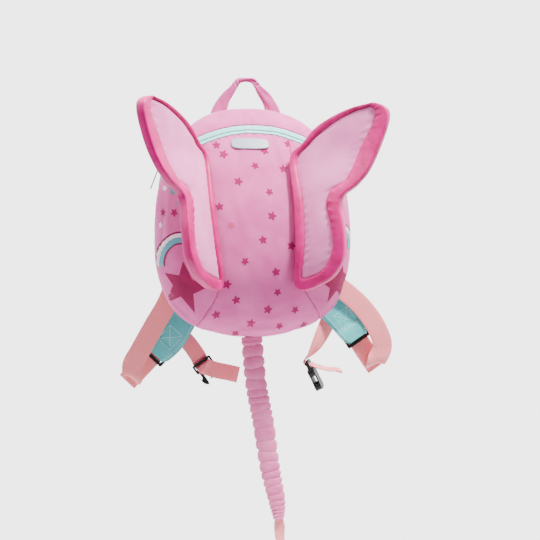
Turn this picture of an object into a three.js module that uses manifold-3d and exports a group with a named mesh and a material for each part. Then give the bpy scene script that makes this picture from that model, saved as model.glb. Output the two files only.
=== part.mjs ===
// Toddler harness backpack with padded butterfly wings, shoulder straps, chest buckle and a rein.
// Millimetres, +Z up, +X to the wearer's left seen from the front of the bag, the front faces -Y.
// The origin is under the middle of the grab handle, where a hook carries the whole bag.
import * as THREE from 'three';
import { mergeVertices } from 'three/addons/utils/BufferGeometryUtils.js';
import Module from 'manifold-3d';

// Driving dimensions
const CLEARANCE = 0.3;
const WALL = 1.8;
const BAG = {
  halfWidth: 117.8, crownHeight: 160.6, baseHeight: 116.8,
  frontDepth: 62, backDepth: 58, backCornerInset: 22,
};
const HANDLE = { rise: 36.4, barThickness: 6, baseWidth: 20, strapThickness: 3, tabLength: 24 };
const ZIP = { tapeWidth: 13, tapeThickness: 1.2, coilWidth: 4.4, coilThickness: 2.4, coilProud: 0.8 };
const SLIDER = { width: 7.5, length: 10, thickness: 3.6, bridgeRadius: 3.8, bridgeWire: 0.8 };
const PULL = { length: 30, width: 5.5, wire: 0.75 };
const PLATE = { width: 44.5, height: 12.6, thickness: 2.2, offCentre: -7, belowZip: 20 };
const WING = { span: 122.6, height: 216.2, thickness: 12, rootBelowTop: 60, insetThickness: 1.6 };
const PAD = { width: 42, endWidth: 27, thickness: 8, endThickness: 4 };
const WEBBING = { width: 25, thickness: 1.4, hem: 12 };
const CHEST = { width: 20, thickness: 1.3, hem: 9 };
const LOCK = { width: 34, length: 24, thickness: 2.6, bar: 5.2, slot: 5.2 };
const BUCKLE = { width: 26, thickness: 8.4, maleBase: 12, prong: 19, femaleLength: 34, lip: 1.6 };
const REIN = { sleeveLength: 222, width: 24, endWidth: 12, thickness: 11, webWidth: 13.5, webThickness: 1.6 };
const LOOP = { length: 110, width: 46 };

// Shares that give the bag its form
const FORM = {
  crownPower: 2.42, basePower: 2.58, domePower: 2.1, cornerPower: 2.2,
  rim: 0.71, backTurn: THREE.MathUtils.degToRad(75),
  crownLean: 32, baseLean: 14, crownFlattening: 0.3, baseBulge: 0.25,
};
const BELT = { top: 0.43, drop: 0.28, dropAngle: 61.6, power: 4, endAngle: 73.6 };

// Seams beside the front panel, which the wings cover: zip angle at the top, rows of shares of the half
// width and of the height above or below the widest level, and the chart angle at the bottom
const SEAMS = {
  left: {
    zipAngle: -37, cornerAngle: -123,
    rows: [[-0.526, 0.604], [-0.475, 0.293], [-0.441, -0.026], [-0.416, -0.325], [-0.424, -0.53], [-0.518, -0.745]],
  },
  right: {
    zipAngle: 25, cornerAngle: -51,
    rows: [[0.348, 0.604], [0.348, 0.293], [0.348, -0.026], [0.348, -0.325], [0.458, -0.522], [0.662, -0.779]],
  },
};

const MIDDLE_Z = -HANDLE.rise - BAG.crownHeight;
const MIDDLE_Y = -HANDLE.strapThickness / 2 - CLEARANCE - BAG.backDepth;

// Soft dents pressed into the cloth: chart place, spread and depth
const DENTS = [
  { u: -0.20, v: 0.52, spread: 0.07, depth: 1.6 },
  { u: 0.22, v: 0.56, spread: 0.06, depth: 1.4 },
  { u: 0.05, v: -0.30, spread: 0.16, depth: 1.5 },
  { u: -0.26, v: -0.62, spread: 0.09, depth: 2.0 },
  { u: 0.30, v: -0.60, spread: 0.09, depth: 2.0 },
  { u: 0.62, v: -0.30, spread: 0.10, depth: 1.8 },
  { u: -0.62, v: -0.32, spread: 0.10, depth: 1.8 },
];

const vec = (x, y, z) => new THREE.Vector3(x, y, z);
const rad = THREE.MathUtils.degToRad;
const lerp = THREE.MathUtils.lerp;
const range = (count) => Array.from({ length: count }, (_, i) => i);
const superNorm = (a, b, n) => (Math.abs(a) ** n + Math.abs(b) ** n) ** (1 / n);

// The bag's outline seen from the front, by chart angle, about its widest level
function outlinePoint(angle) {
  const c = Math.cos(angle);
  const s = Math.sin(angle);
  const scale = 1 / superNorm(c, s, s >= 0 ? FORM.crownPower : FORM.basePower);
  return { x: BAG.halfWidth * c * scale, z: (s >= 0 ? BAG.crownHeight : BAG.baseHeight) * s * scale };
}

function outlineNormal(angle) {
  const step = 1e-3;
  const a = outlinePoint(angle - step);
  const b = outlinePoint(angle + step);
  const size = Math.hypot(b.x - a.x, b.z - a.z);
  return { x: (b.z - a.z) / size, z: -(b.x - a.x) / size };
}

// How far behind the widest level the outline's own plane lies at a height
function leanBack(z) {
  if (z >= 0) return FORM.crownLean * (z / BAG.crownHeight) ** 1.7;
  return FORM.baseLean * (z / BAG.baseHeight) ** 2;
}

function frontFullness(z) {
  if (z >= 0) return 1 - FORM.crownFlattening * (z / BAG.crownHeight);
  return 1 - FORM.baseBulge * (z / BAG.baseHeight);
}

// The smooth form of the bag on a disc chart: the middle of the front is at 0, the back seam at radius 1
function bagForm(u, v) {
  const t = Math.min(Math.hypot(u, v), 1);
  const angle = Math.atan2(v, u);
  const edge = outlinePoint(angle);
  if (t <= FORM.rim) {
    const turn = (t / FORM.rim) * Math.PI / 2;
    const reach = Math.sin(turn) ** (2 / FORM.domePower);
    const rise = Math.max(Math.cos(turn), 0) ** (2 / FORM.domePower);
    const z = edge.z * reach;
    const y = leanBack(z) - BAG.frontDepth * rise * frontFullness(z);
    return vec(edge.x * reach, MIDDLE_Y + y, MIDDLE_Z + z);
  }
  const turn = ((t - FORM.rim) / (1 - FORM.rim)) * FORM.backTurn;
  const inset = BAG.backCornerInset * (1 - Math.cos(turn) ** (2 / FORM.cornerPower));
  const depth = (BAG.backDepth - leanBack(edge.z)) * Math.sin(turn) ** (2 / FORM.cornerPower);
  const out = outlineNormal(angle);
  return vec(edge.x - out.x * inset, MIDDLE_Y + leanBack(edge.z) + depth, MIDDLE_Z + edge.z - out.z * inset);
}

const onBag = ({ u, v }) => bagForm(u, v);
const rimPoint = (angle) => ({ u: Math.cos(angle), v: Math.sin(angle) });

function bagNormal(u, v) {
  const step = 2e-3;
  const size = Math.max(Math.hypot(u, v), 1e-6);
  const pull = size > 1 - 2 * step ? (1 - 2 * step) / size : 1;
  const a = u * pull;
  const b = v * pull;
  const across = bagForm(a + step, b).sub(bagForm(a - step, b));
  const upward = bagForm(a, b + step).sub(bagForm(a, b - step));
  return across.cross(upward).normalize();
}

function dentAt(u, v) {
  return DENTS.reduce((sum, dent) => {
    const far = ((u - dent.u) ** 2 + (v - dent.v) ** 2) / dent.spread ** 2;
    return sum + dent.depth * Math.exp(-far);
  }, 0);
}

// Height of the dome in front of a point of the front view
function frontSurfaceY(x, z) {
  const dz = z - MIDDLE_Z;
  const tall = dz >= 0 ? BAG.crownHeight : BAG.baseHeight;
  const power = dz >= 0 ? FORM.crownPower : FORM.basePower;
  const reach = Math.min(superNorm(x / BAG.halfWidth, dz / tall, power), 1);
  const rise = (1 - reach ** FORM.domePower) ** (1 / FORM.domePower);
  return MIDDLE_Y + leanBack(dz) - BAG.frontDepth * rise * frontFullness(dz);
}

// Closed solid from two grids of points, outer and inner, with the same rows and columns
function shellGeometry(outer, inner) {
  const rows = outer.length;
  const columns = outer[0].length;
  const points = [...outer.flat(), ...inner.flat()];
  const at = (layer, j, i) => layer * rows * columns + j * columns + i;
  const faces = [];
  const quad = (a, b, c, d) => faces.push(a, b, c, a, c, d);
  for (let j = 0; j < rows - 1; j += 1) {
    for (let i = 0; i < columns - 1; i += 1) {
      quad(at(0, j, i), at(0, j, i + 1), at(0, j + 1, i + 1), at(0, j + 1, i));
      quad(at(1, j, i), at(1, j + 1, i), at(1, j + 1, i + 1), at(1, j, i + 1));
    }
  }
  for (let i = 0; i < columns - 1; i += 1) {
    quad(at(0, 0, i), at(1, 0, i), at(1, 0, i + 1), at(0, 0, i + 1));
    quad(at(0, rows - 1, i + 1), at(1, rows - 1, i + 1), at(1, rows - 1, i), at(0, rows - 1, i));
  }
  for (let j = 0; j < rows - 1; j += 1) {
    quad(at(0, j + 1, 0), at(1, j + 1, 0), at(1, j, 0), at(0, j, 0));
    quad(at(0, j, columns - 1), at(1, j, columns - 1), at(1, j + 1, columns - 1), at(0, j + 1, columns - 1));
  }
  return meshGeometry(points, faces);
}

function meshGeometry(points, faces) {
  const geometry = new THREE.BufferGeometry();
  geometry.setAttribute('position', new THREE.Float32BufferAttribute(points.flatMap((p) => [p.x, p.y, p.z]), 3));
  geometry.setIndex(faces);
  const solid = mergeVertices(geometry, 1e-4);
  return signedVolume(solid) < 0 ? turnedOver(solid) : solid;
}

function signedVolume(geometry) {
  const position = geometry.getAttribute('position');
  const index = geometry.getIndex().array;
  const [a, b, c] = [vec(0, 0, 0), vec(0, 0, 0), vec(0, 0, 0)];
  let sum = 0;
  for (let k = 0; k < index.length; k += 3) {
    a.fromBufferAttribute(position, index[k]);
    b.fromBufferAttribute(position, index[k + 1]);
    c.fromBufferAttribute(position, index[k + 2]);
    sum += a.dot(b.cross(c));
  }
  return sum / 6;
}

function turnedOver(geometry) {
  const index = geometry.getIndex().array;
  for (let k = 0; k < index.length; k += 3) [index[k + 1], index[k + 2]] = [index[k + 2], index[k + 1]];
  return geometry;
}

// Triangles between the two flanks of an outline that is one stretch wide at every height
function stripTriangles(flat) {
  const count = flat.length;
  const byHeight = range(count).sort((i, k) => flat[k].y - flat[i].y);
  const bottom = byHeight[count - 1];
  let [a, b] = [byHeight[0], byHeight[0]];
  const triangles = [];
  while (triangles.length < count - 2) {
    const [nextA, nextB] = [(a + 1) % count, (b + count - 1) % count];
    const useA = b === bottom || (a !== bottom && flat[nextA].y >= flat[nextB].y);
    const next = useA ? nextA : nextB;
    if (a !== b) triangles.push(triangleUp(flat, [a, b, next]));
    if (useA) a = nextA;
    else b = nextB;
  }
  return triangles;
}

function triangleUp(flat, [a, b, c]) {
  return THREE.ShapeUtils.area([flat[a], flat[b], flat[c]]) < 0 ? [a, c, b] : [a, b, c];
}

const earTriangles = (flat) => THREE.ShapeUtils.triangulateShape(flat, []);

const frontView = (ring) => ring.map((p) => new THREE.Vector2(p.x, p.z));

// Closed solid through rings of equal count. Each end is triangulated from an outline laid flat
function loftGeometry(rings, firstFlat = frontView(rings[0]), lastFlat = frontView(rings[rings.length - 1]), fill = earTriangles) {
  const count = rings[0].length;
  const points = rings.flat();
  const faces = [];
  for (let r = 0; r < rings.length - 1; r += 1) {
    for (let i = 0; i < count; i += 1) {
      const k = (i + 1) % count;
      const [a, b] = [r * count + i, r * count + k];
      faces.push(a, b, b + count, a, b + count, a + count);
    }
  }
  const closeEnd = (start, flat, first) => {
    const reverse = THREE.ShapeUtils.area(flat) > 0 === first;
    fill(flat).forEach(([a, b, c]) => {
      faces.push(start + a, start + (reverse ? c : b), start + (reverse ? b : c));
    });
  };
  closeEnd(0, firstFlat, true);
  closeEnd((rings.length - 1) * count, lastFlat, false);
  return meshGeometry(points, faces);
}

// Zip line on the chart: highest in front, falling to the back seam on both sides
function beltChart(angle) {
  const radius = Math.min(BELT.top + BELT.drop * (Math.abs(angle) / BELT.dropAngle) ** BELT.power, 1);
  const turn = rad(90 - angle);
  return { u: radius * Math.cos(turn), v: radius * Math.sin(turn) };
}

// Chart point a given distance above the zip line, measured on the bag
function beltEdge(angle, distance) {
  const step = 0.1;
  const here = beltChart(angle);
  const along = onBag(beltChart(angle + step)).sub(onBag(beltChart(angle - step)));
  const normal = bagNormal(here.u, here.v);
  const wanted = normal.clone().cross(along).normalize().multiplyScalar(distance);
  const [du, dv] = [-1e-3 * Math.sign(here.u || 1), -1e-3 * Math.sign(here.v)];
  const base = onBag(here);
  const byU = bagForm(here.u + du, here.v).sub(base).divideScalar(du);
  const byV = bagForm(here.u, here.v + dv).sub(base).divideScalar(dv);
  const [uu, uv, vv] = [byU.dot(byU), byU.dot(byV), byV.dot(byV)];
  const [wu, wv] = [byU.dot(wanted), byV.dot(wanted)];
  const det = uu * vv - uv * uv;
  const found = { u: here.u + (wu * vv - wv * uv) / det, v: here.v + (wv * uu - wu * uv) / det };
  return Math.abs(angle) === BELT.endAngle ? rimPoint(Math.atan2(found.v, found.u)) : found;
}

// Columns shared by the crown, the zip and the panels below it, so that their edges run side by side
const SIDE_COLUMNS = 8;
const CLOSER_TO_END = 1.6;
const FRONT_COLUMNS = 10;
const SEAM_ROWS = 13;
const lastBeforeEnd = BELT.endAngle - 1;
const sideAngles = (hand) => {
  const { zipAngle } = SEAMS[hand];
  const steps = range(SIDE_COLUMNS).map((i) => {
    const share = 1 - (1 - i / (SIDE_COLUMNS - 1)) ** CLOSER_TO_END;
    return lerp(zipAngle, Math.sign(zipAngle) * lastBeforeEnd, share);
  });
  return [...steps, Math.sign(zipAngle) * BELT.endAngle];
};
const frontAngles = range(FRONT_COLUMNS + 1)
  .map((i) => lerp(SEAMS.left.zipAngle, SEAMS.right.zipAngle, i / FRONT_COLUMNS));
const beltAngles = [...sideAngles('left').reverse(), ...frontAngles.slice(1, -1), ...sideAngles('right')];
const half = CLEARANCE / 2;
const LOW_EDGE = -ZIP.tapeWidth / 2;
const HIGH_EDGE = ZIP.tapeWidth / 2;

// Outer and inner grids of a panel from chart points, set back from its seams by half the clearance
function panelGeometry(charts, wall, proud = 0, setBack = half) {
  const surface = charts.map((row) => row.map(({ u, v }) => {
    const normal = bagNormal(u, v);
    return { point: bagForm(u, v).addScaledVector(normal, proud - dentAt(u, v)), normal };
  }));
  const rows = surface.length;
  const columns = surface[0].length;
  const nudge = (edge, inside, before, after) => {
    const run = after.point.clone().sub(before.point).normalize();
    const way = inside.point.clone().sub(edge.point);
    way.addScaledVector(run, -way.dot(run)).normalize();
    edge.shift = (edge.shift ?? vec(0, 0, 0)).addScaledVector(way, setBack);
  };
  const within = (k, count) => (count > 2 ? THREE.MathUtils.clamp(k, 1, count - 2) : k);
  for (let j = 0; j < rows; j += 1) {
    const [low, high] = [surface[Math.max(j - 1, 0)], surface[Math.min(j + 1, rows - 1)]];
    const inside = surface[within(j, rows)];
    nudge(surface[j][0], inside[1], low[0], high[0]);
    nudge(surface[j][columns - 1], inside[columns - 2], low[columns - 1], high[columns - 1]);
  }
  for (let i = 0; i < columns; i += 1) {
    const [low, high] = [Math.max(i - 1, 0), Math.min(i + 1, columns - 1)];
    const inside = within(i, columns);
    nudge(surface[0][i], surface[1][inside], surface[0][low], surface[0][high]);
    nudge(surface[rows - 1][i], surface[rows - 2][inside], surface[rows - 1][low], surface[rows - 1][high]);
  }
  const outer = surface.map((row) => row.map((s) => s.point.clone().add(s.shift ?? vec(0, 0, 0))));
  const inner = outer.map((row, j) => row.map((p, i) => p.clone().addScaledVector(surface[j][i].normal, -wall)));
  return shellGeometry(outer, inner);
}

// Chart points of a four-sided panel from its edges, by a Coons blend
function coonsCharts(bottom, top, left, right) {
  const mix = (a, b, s) => ({ u: lerp(a.u, b.u, s), v: lerp(a.v, b.v, s) });
  return left.map((leftPoint, j) => {
    const t = j / (left.length - 1);
    return bottom.map((bottomPoint, i) => {
      const s = i / (bottom.length - 1);
      if (i === 0) return leftPoint;
      if (i === bottom.length - 1) return right[j];
      if (j === 0) return bottomPoint;
      if (j === left.length - 1) return top[i];
      const byRows = mix(bottomPoint, top[i], t);
      const byColumns = mix(leftPoint, right[j], s);
      const corners = mix(mix(bottom[0], bottom[bottom.length - 1], s), mix(top[0], top[top.length - 1], s), t);
      return { u: byRows.u + byColumns.u - corners.u, v: byRows.v + byColumns.v - corners.v };
    });
  });
}

const beltRow = (angles, distance) => angles.map((angle) => beltEdge(angle, distance));

// Chart point of a place in the front view, given in shares of the bag's half width and height
function frontChart(across, up) {
  const reach = superNorm(across, up, up >= 0 ? FORM.crownPower : FORM.basePower);
  const radius = FORM.rim * Math.asin(Math.min(reach ** (FORM.domePower / 2), 1)) / (Math.PI / 2);
  const angle = Math.atan2(up, across);
  return { u: radius * Math.cos(angle), v: radius * Math.sin(angle) };
}

// Seam from the zip down to the back seam
function seamCharts(hand) {
  const { zipAngle, cornerAngle, rows } = SEAMS[hand];
  const charts = [beltEdge(zipAngle, LOW_EDGE), ...rows.map((row) => frontChart(...row)), rimPoint(rad(cornerAngle))];
  const curve = new THREE.SplineCurve(charts.map(({ u, v }) => new THREE.Vector2(u, v)));
  const lastStretch = 0.012;
  const shares = [0, lastStretch, ...range(SEAM_ROWS).map((j) => lerp(lastStretch, 1, (j + 1) / SEAM_ROWS))];
  return shares.map((share) => {
    const p = curve.getPoint(1 - share);
    return { u: p.x, v: p.y };
  });
}

function frontPanel() {
  const bottom = frontAngles.map((angle, i) => {
    const share = i / FRONT_COLUMNS;
    return rimPoint(rad(lerp(SEAMS.left.cornerAngle, SEAMS.right.cornerAngle, share)));
  });
  const top = beltRow(frontAngles, LOW_EDGE);
  return panelGeometry(coonsCharts(bottom, top, seamCharts('left'), seamCharts('right')), WALL);
}

function sidePanel(hand) {
  const seam = seamCharts(hand);
  const top = beltRow(sideAngles(hand), LOW_EDGE);
  const last = top[top.length - 1];
  const low = rad(SEAMS[hand].cornerAngle);
  let high = Math.atan2(last.v, last.u);
  if (high > low + Math.PI) high -= 2 * Math.PI;
  const outer = range(seam.length - 1).map((j) => rimPoint(lerp(low, high, j / (seam.length - 2))));
  const bottom = range(top.length).map((i) => {
    const share = i / (top.length - 1);
    return { u: lerp(seam[1].u, outer[0].u, share), v: lerp(seam[1].v, outer[0].v, share) };
  });
  return panelGeometry(coonsCharts(bottom, top, seam.slice(1), outer), WALL);
}

const crownAngles = beltAngles.slice(2, -2);
function crownPanel() {
  const rows = 5;
  const hemLine = HIGH_EDGE + half;
  const endLine = HIGH_EDGE + 2 * CLEARANCE;
  const bottom = beltRow(crownAngles, hemLine);
  const ends = [beltEdge(-lastBeforeEnd, endLine), beltEdge(lastBeforeEnd, endLine)];
  const endAngles = ends.map((p) => Math.atan2(p.v, p.u));
  const top = crownAngles.map((angle, i) => rimPoint(lerp(endAngles[0], endAngles[1], i / (crownAngles.length - 1))));
  const between = (a, b) => range(rows + 1).map((j) => ({ u: lerp(a.u, b.u, j / rows), v: lerp(a.v, b.v, j / rows) }));
  const left = between(bottom[0], top[0]);
  const right = between(bottom[bottom.length - 1], top[top.length - 1]);
  return panelGeometry(coonsCharts(bottom, top, left, right), WALL, 0, half * 1.5);
}

function zipBand(low, high, wall, proud, setBack) {
  return panelGeometry([beltRow(beltAngles, low), beltRow(beltAngles, high)], wall, proud, setBack);
}

// Flat padded back: the rim follows the back seam, the middle is a shallow dome
function backPanel() {
  const sectors = 42;
  const seamGap = 0.6;
  const rimShares = [0.45, 0.8, 1];
  const angles = range(sectors).map((i) => (i / sectors) * Math.PI * 2);
  const rim = angles.map((angle) => {
    const p = bagForm(Math.cos(angle), Math.sin(angle));
    const out = outlineNormal(angle);
    return vec(p.x - out.x * seamGap, p.y, p.z - out.z * seamGap);
  });
  const outerY = MIDDLE_Y + BAG.backDepth;
  const ring = (share, lift) => rim.map((p, i) => {
    const y = lerp(p.y, outerY, 1 - share ** 3);
    const normal = share === 1 ? bagNormal(Math.cos(angles[i]), Math.sin(angles[i])) : vec(0, 1, 0);
    return vec(p.x * share, y, lerp(MIDDLE_Z, p.z, share)).addScaledVector(normal, -lift);
  });
  const rings = [...rimShares.map((s) => ring(s, 0)), ...[...rimShares].reverse().map((s) => ring(s, WALL))];
  return loftGeometry(rings);
}

// Rounded plate that lies on the front panel
function namePlate() {
  const sides = 24;
  const corner = 4.5;
  const centreZ = frontTopZ() - PLATE.belowZip;
  const ring = (share, lift) => range(sides).map((i) => {
    const angle = (i / sides) * Math.PI * 2;
    const scale = share / superNorm(Math.cos(angle), Math.sin(angle), corner);
    const x = PLATE.offCentre + (PLATE.width / 2) * Math.cos(angle) * scale;
    const z = centreZ + (PLATE.height / 2) * Math.sin(angle) * scale;
    return vec(x, frontSurfaceY(x, z), z).addScaledVector(frontSlope(x, z), lift);
  });
  const edge = [0.25, 0.6, 0.85].map((share) => [share, CLEARANCE]);
  const face = [[0.97, PLATE.thickness], [0.6, PLATE.thickness], [0.25, PLATE.thickness]];
  const rows = [...edge, [1, CLEARANCE], [1, PLATE.thickness - 0.5], ...face];
  return loftGeometry(rows.map(([share, lift]) => ring(share, lift)));
}

function frontTopZ() {
  return onBag(beltChart(0)).z;
}

function frontSlope(x, z) {
  const step = 0.5;
  const byX = (frontSurfaceY(x + step, z) - frontSurfaceY(x - step, z)) / (2 * step);
  const byZ = (frontSurfaceY(x, z + step) - frontSurfaceY(x, z - step)) / (2 * step);
  return vec(byX, -1, byZ).normalize();
}

// Wing outline: reach from the root as a share of the span, drop from the tip as a share of the height,
// and the same for the edge of the light inset
const WING_OUTLINE = [
  { reach: 0.000, drop: 0.277, insetReach: 0.085, insetDrop: 0.290 },
  { reach: 0.126, drop: 0.208, insetReach: 0.165, insetDrop: 0.238 },
  { reach: 0.262, drop: 0.125, insetReach: 0.285, insetDrop: 0.175 },
  { reach: 0.457, drop: 0.061, insetReach: 0.470, insetDrop: 0.101 },
  { reach: 0.647, drop: 0.021, insetReach: 0.645, insetDrop: 0.050 },
  { reach: 0.791, drop: 0.005, insetReach: 0.760, insetDrop: 0.030 },
  { reach: 0.878, drop: 0.000, insetReach: 0.825, insetDrop: 0.025 },
  { reach: 0.992, drop: 0.038, insetReach: 0.868, insetDrop: 0.049 },
  { reach: 1.000, drop: 0.080, insetReach: 0.848, insetDrop: 0.100 },
  { reach: 0.921, drop: 0.209, insetReach: 0.735, insetDrop: 0.212 },
  { reach: 0.774, drop: 0.360, insetReach: 0.640, insetDrop: 0.318 },
  { reach: 0.636, drop: 0.443, insetReach: 0.530, insetDrop: 0.411 },
  { reach: 0.479, drop: 0.512, insetReach: 0.350, insetDrop: 0.484 },
  { reach: 0.465, drop: 0.559, insetReach: 0.322, insetDrop: 0.550 },
  { reach: 0.484, drop: 0.662, insetReach: 0.353, insetDrop: 0.661 },
  { reach: 0.487, drop: 0.787, insetReach: 0.369, insetDrop: 0.763 },
  { reach: 0.465, drop: 0.841, insetReach: 0.320, insetDrop: 0.848 },
  { reach: 0.387, drop: 0.919, insetReach: 0.240, insetDrop: 0.903 },
  { reach: 0.249, drop: 0.973, insetReach: 0.150, insetDrop: 0.925 },
  { reach: 0.053, drop: 1.000, insetReach: 0.082, insetDrop: 0.934 },
  { reach: 0.000, drop: 0.973, insetReach: 0.080, insetDrop: 0.915 },
  { reach: 0.000, drop: 0.760, insetReach: 0.108, insetDrop: 0.760 },
  { reach: 0.000, drop: 0.530, insetReach: 0.113, insetDrop: 0.540 },
];

// Each wing: where its root runs on the front, how far it opens forward
const WINGS = {
  left: { side: -1, topX: 62.8, baseX: 48.2, open: rad(49) },
  right: { side: 1, topX: 40.5, baseX: 40.8, open: rad(33) },
};
const WING_TOP = -4.2;
const UPPER_LEAN = 0.15;

function wingFrame(wing) {
  const tipZ = -HANDLE.rise + WING_TOP;
  const rootTop = -HANDLE.rise - WING.rootBelowTop - 4;
  const rootBase = tipZ - WING.height * 0.973;
  const across = vec(wing.side * Math.cos(wing.open), -Math.sin(wing.open), 0);
  const face = vec(-wing.side * Math.sin(wing.open), -Math.cos(wing.open), 0);
  const rootLine = (z) => {
    const clamped = THREE.MathUtils.clamp(z, rootBase, rootTop);
    const share = (rootTop - clamped) / (rootTop - rootBase);
    const x = wing.side * lerp(wing.topX, wing.baseX, share);
    return vec(x, frontSurfaceY(x, clamped) + UPPER_LEAN * Math.max(z - rootTop, 0), z);
  };
  const place = (reach, drop, out, standOff = 0) => rootLine(tipZ - WING.height * drop)
    .addScaledVector(across, WING.span * reach)
    .addScaledVector(face, out)
    .add(vec(0, -standOff, 0));
  return { place };
}

const WING_POINTS = 40;
function wingCurves() {
  const spline = (reach, drop) => new THREE.CatmullRomCurve3(
    WING_OUTLINE.map((row) => vec(row[reach], row[drop], 0)), true, 'centripetal');
  const outer = spline('reach', 'drop');
  const inset = spline('insetReach', 'insetDrop');
  return range(WING_POINTS).map((i) => ({ outer: outer.getPoint(i / WING_POINTS), inset: inset.getPoint(i / WING_POINTS) }));
}

// Rim section: share of the way from the outer edge to the inset, and height as a share of the thickness
const WING_RIM = [
  { inward: 0.50, height: -0.50 }, { inward: 0.14, height: -0.40 }, { inward: 0.00, height: -0.16 },
  { inward: 0.00, height: 0.14 }, { inward: 0.16, height: 0.40 }, { inward: 0.50, height: 0.50 },
  { inward: 0.94, height: 0.40 }, { inward: 0.99, height: 0.20 }, { inward: 1.04, height: 0.18 },
];

function wingRing(curves, inward) {
  return curves.map(({ outer, inset }) => ({ reach: lerp(outer.x, inset.x, inward), drop: lerp(outer.y, inset.y, inward) }));
}

function wingPieces(wing) {
  const curves = wingCurves();
  const { place } = wingFrame(wing);
  const rows = WING_RIM.map(({ inward, height }) => ({ flat: wingRing(curves, inward), out: height * WING.thickness }));
  const deepest = Math.max(...rows.flatMap(({ flat, out }) => flat.map(({ reach, drop }) => {
    const p = place(reach, drop, out);
    return p.y - frontSurfaceY(p.x, p.z);
  })));
  const standOff = deepest + 1.3 * CLEARANCE;
  const rings = rows.map(({ flat, out }) => flat.map(({ reach, drop }) => place(reach, drop, out, standOff)));
  const flatOf = (ring) => ring.map(({ reach, drop }) => new THREE.Vector2(reach * WING.span, -drop * WING.height));
  const insetFlat = flatOf(wingRing(curves, 1));
  const pad = loftGeometry(rings, flatOf(rows[0].flat), insetFlat, stripTriangles);
  const bed = WING_RIM[WING_RIM.length - 1];
  const floor = bed.height * WING.thickness + CLEARANCE;
  const plate = [[bed.inward, floor], [bed.inward, floor + WING.insetThickness * 0.6], [1.12, floor + WING.insetThickness]]
    .map(([inward, out]) => ({ flat: wingRing(curves, inward), out }));
  const insetRings = plate.map(({ flat, out }) => flat.map(({ reach, drop }) => place(reach, drop, out, standOff)));
  return { pad, inset: loftGeometry(insetRings, insetFlat, insetFlat, stripTriangles) };
}

// A band swept along points. Each row gives the point, the way its width runs, its width and thickness
function bandGeometry(rows, samples, section = FLAT_SECTION) {
  const curve = new THREE.CatmullRomCurve3(rows.map((row) => row.point), false, 'centripetal');
  const rings = range(samples + 1).map((k) => {
    const t = k / samples;
    const place = t * (rows.length - 1);
    const low = Math.min(Math.floor(place), rows.length - 2);
    const part = place - low;
    const [a, b] = [rows[low], rows[low + 1]];
    const tangent = curve.getTangent(t);
    const across = a.across.clone().lerp(b.across, part);
    across.addScaledVector(tangent, -across.dot(tangent)).normalize();
    const face = tangent.clone().cross(across).normalize();
    const width = lerp(a.width, b.width, part);
    const thickness = lerp(a.thickness, b.thickness, part);
    const centre = curve.getPoint(t);
    return section.map(([w, n]) => centre.clone().addScaledVector(across, w * width).addScaledVector(face, n * thickness));
  });
  const flat = section.map(([w, n]) => new THREE.Vector2(w, n));
  return loftGeometry(rings, flat, flat);
}
const FLAT_SECTION = [[-0.5, -0.5], [0.5, -0.5], [0.5, 0.5], [-0.5, 0.5]];
const SOFT_SECTION = range(12).map((i) => {
  const angle = (i / 12) * Math.PI * 2 + Math.PI / 12;
  const scale = 0.5 / superNorm(Math.cos(angle), Math.sin(angle), 2.8);
  return [Math.cos(angle) * scale, Math.sin(angle) * scale];
});

// Width direction in the plane of the back, turned about the run when twist is given
function acrossAt(degrees, twist = 0) {
  const flat = vec(Math.cos(rad(degrees)), 0, Math.sin(rad(degrees)));
  return flat.multiplyScalar(Math.cos(rad(twist))).add(vec(0, Math.sin(rad(twist)), 0));
}

// Grab handle: two legs sewn behind the top of the bag, rolled together into the bar over the origin
function grabHandle() {
  const top = HANDLE.barThickness / 2;
  const foot = -HANDLE.rise - HANDLE.tabLength;
  const half = [
    { x: 35.5, y: -0.6, z: foot, width: HANDLE.baseWidth, thickness: HANDLE.strapThickness, lean: 0 },
    { x: 35.0, y: -0.3, z: -HANDLE.rise - 6, width: HANDLE.baseWidth, thickness: HANDLE.strapThickness, lean: 2 },
    { x: 27.5, y: 0, z: -HANDLE.rise * 0.62, width: 14.5, thickness: 4.4, lean: 26 },
    { x: 17.0, y: 0, z: -HANDLE.rise * 0.24, width: 10.0, thickness: 6.2, lean: 38 },
    { x: 9.0, y: 0, z: top - 1.2, width: HANDLE.barThickness + 1, thickness: 7.5, lean: 58 },
    { x: 3.5, y: 0, z: top, width: HANDLE.barThickness, thickness: 8, lean: 88 },
  ];
  const leg = (side) => half.map((row) => ({
    point: vec(side * row.x, row.y, row.z),
    across: acrossAt(side > 0 ? row.lean : 180 - row.lean).multiplyScalar(side > 0 ? 1 : -1),
    width: row.width, thickness: row.thickness,
  }));
  const rightLeg = leg(1).reverse().map((row) => ({ ...row, across: row.across.clone() }));
  const leftLeg = leg(-1).map((row) => ({ ...row, across: row.across.clone().multiplyScalar(1) }));
  const rows = [...leftLeg, ...rightLeg];
  let previous = rows[0].across;
  rows.forEach((row) => {
    if (row.across.dot(previous) < 0) row.across.multiplyScalar(-1);
    previous = row.across;
  });
  return bandGeometry(rows, 30, SOFT_SECTION);
}

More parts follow.
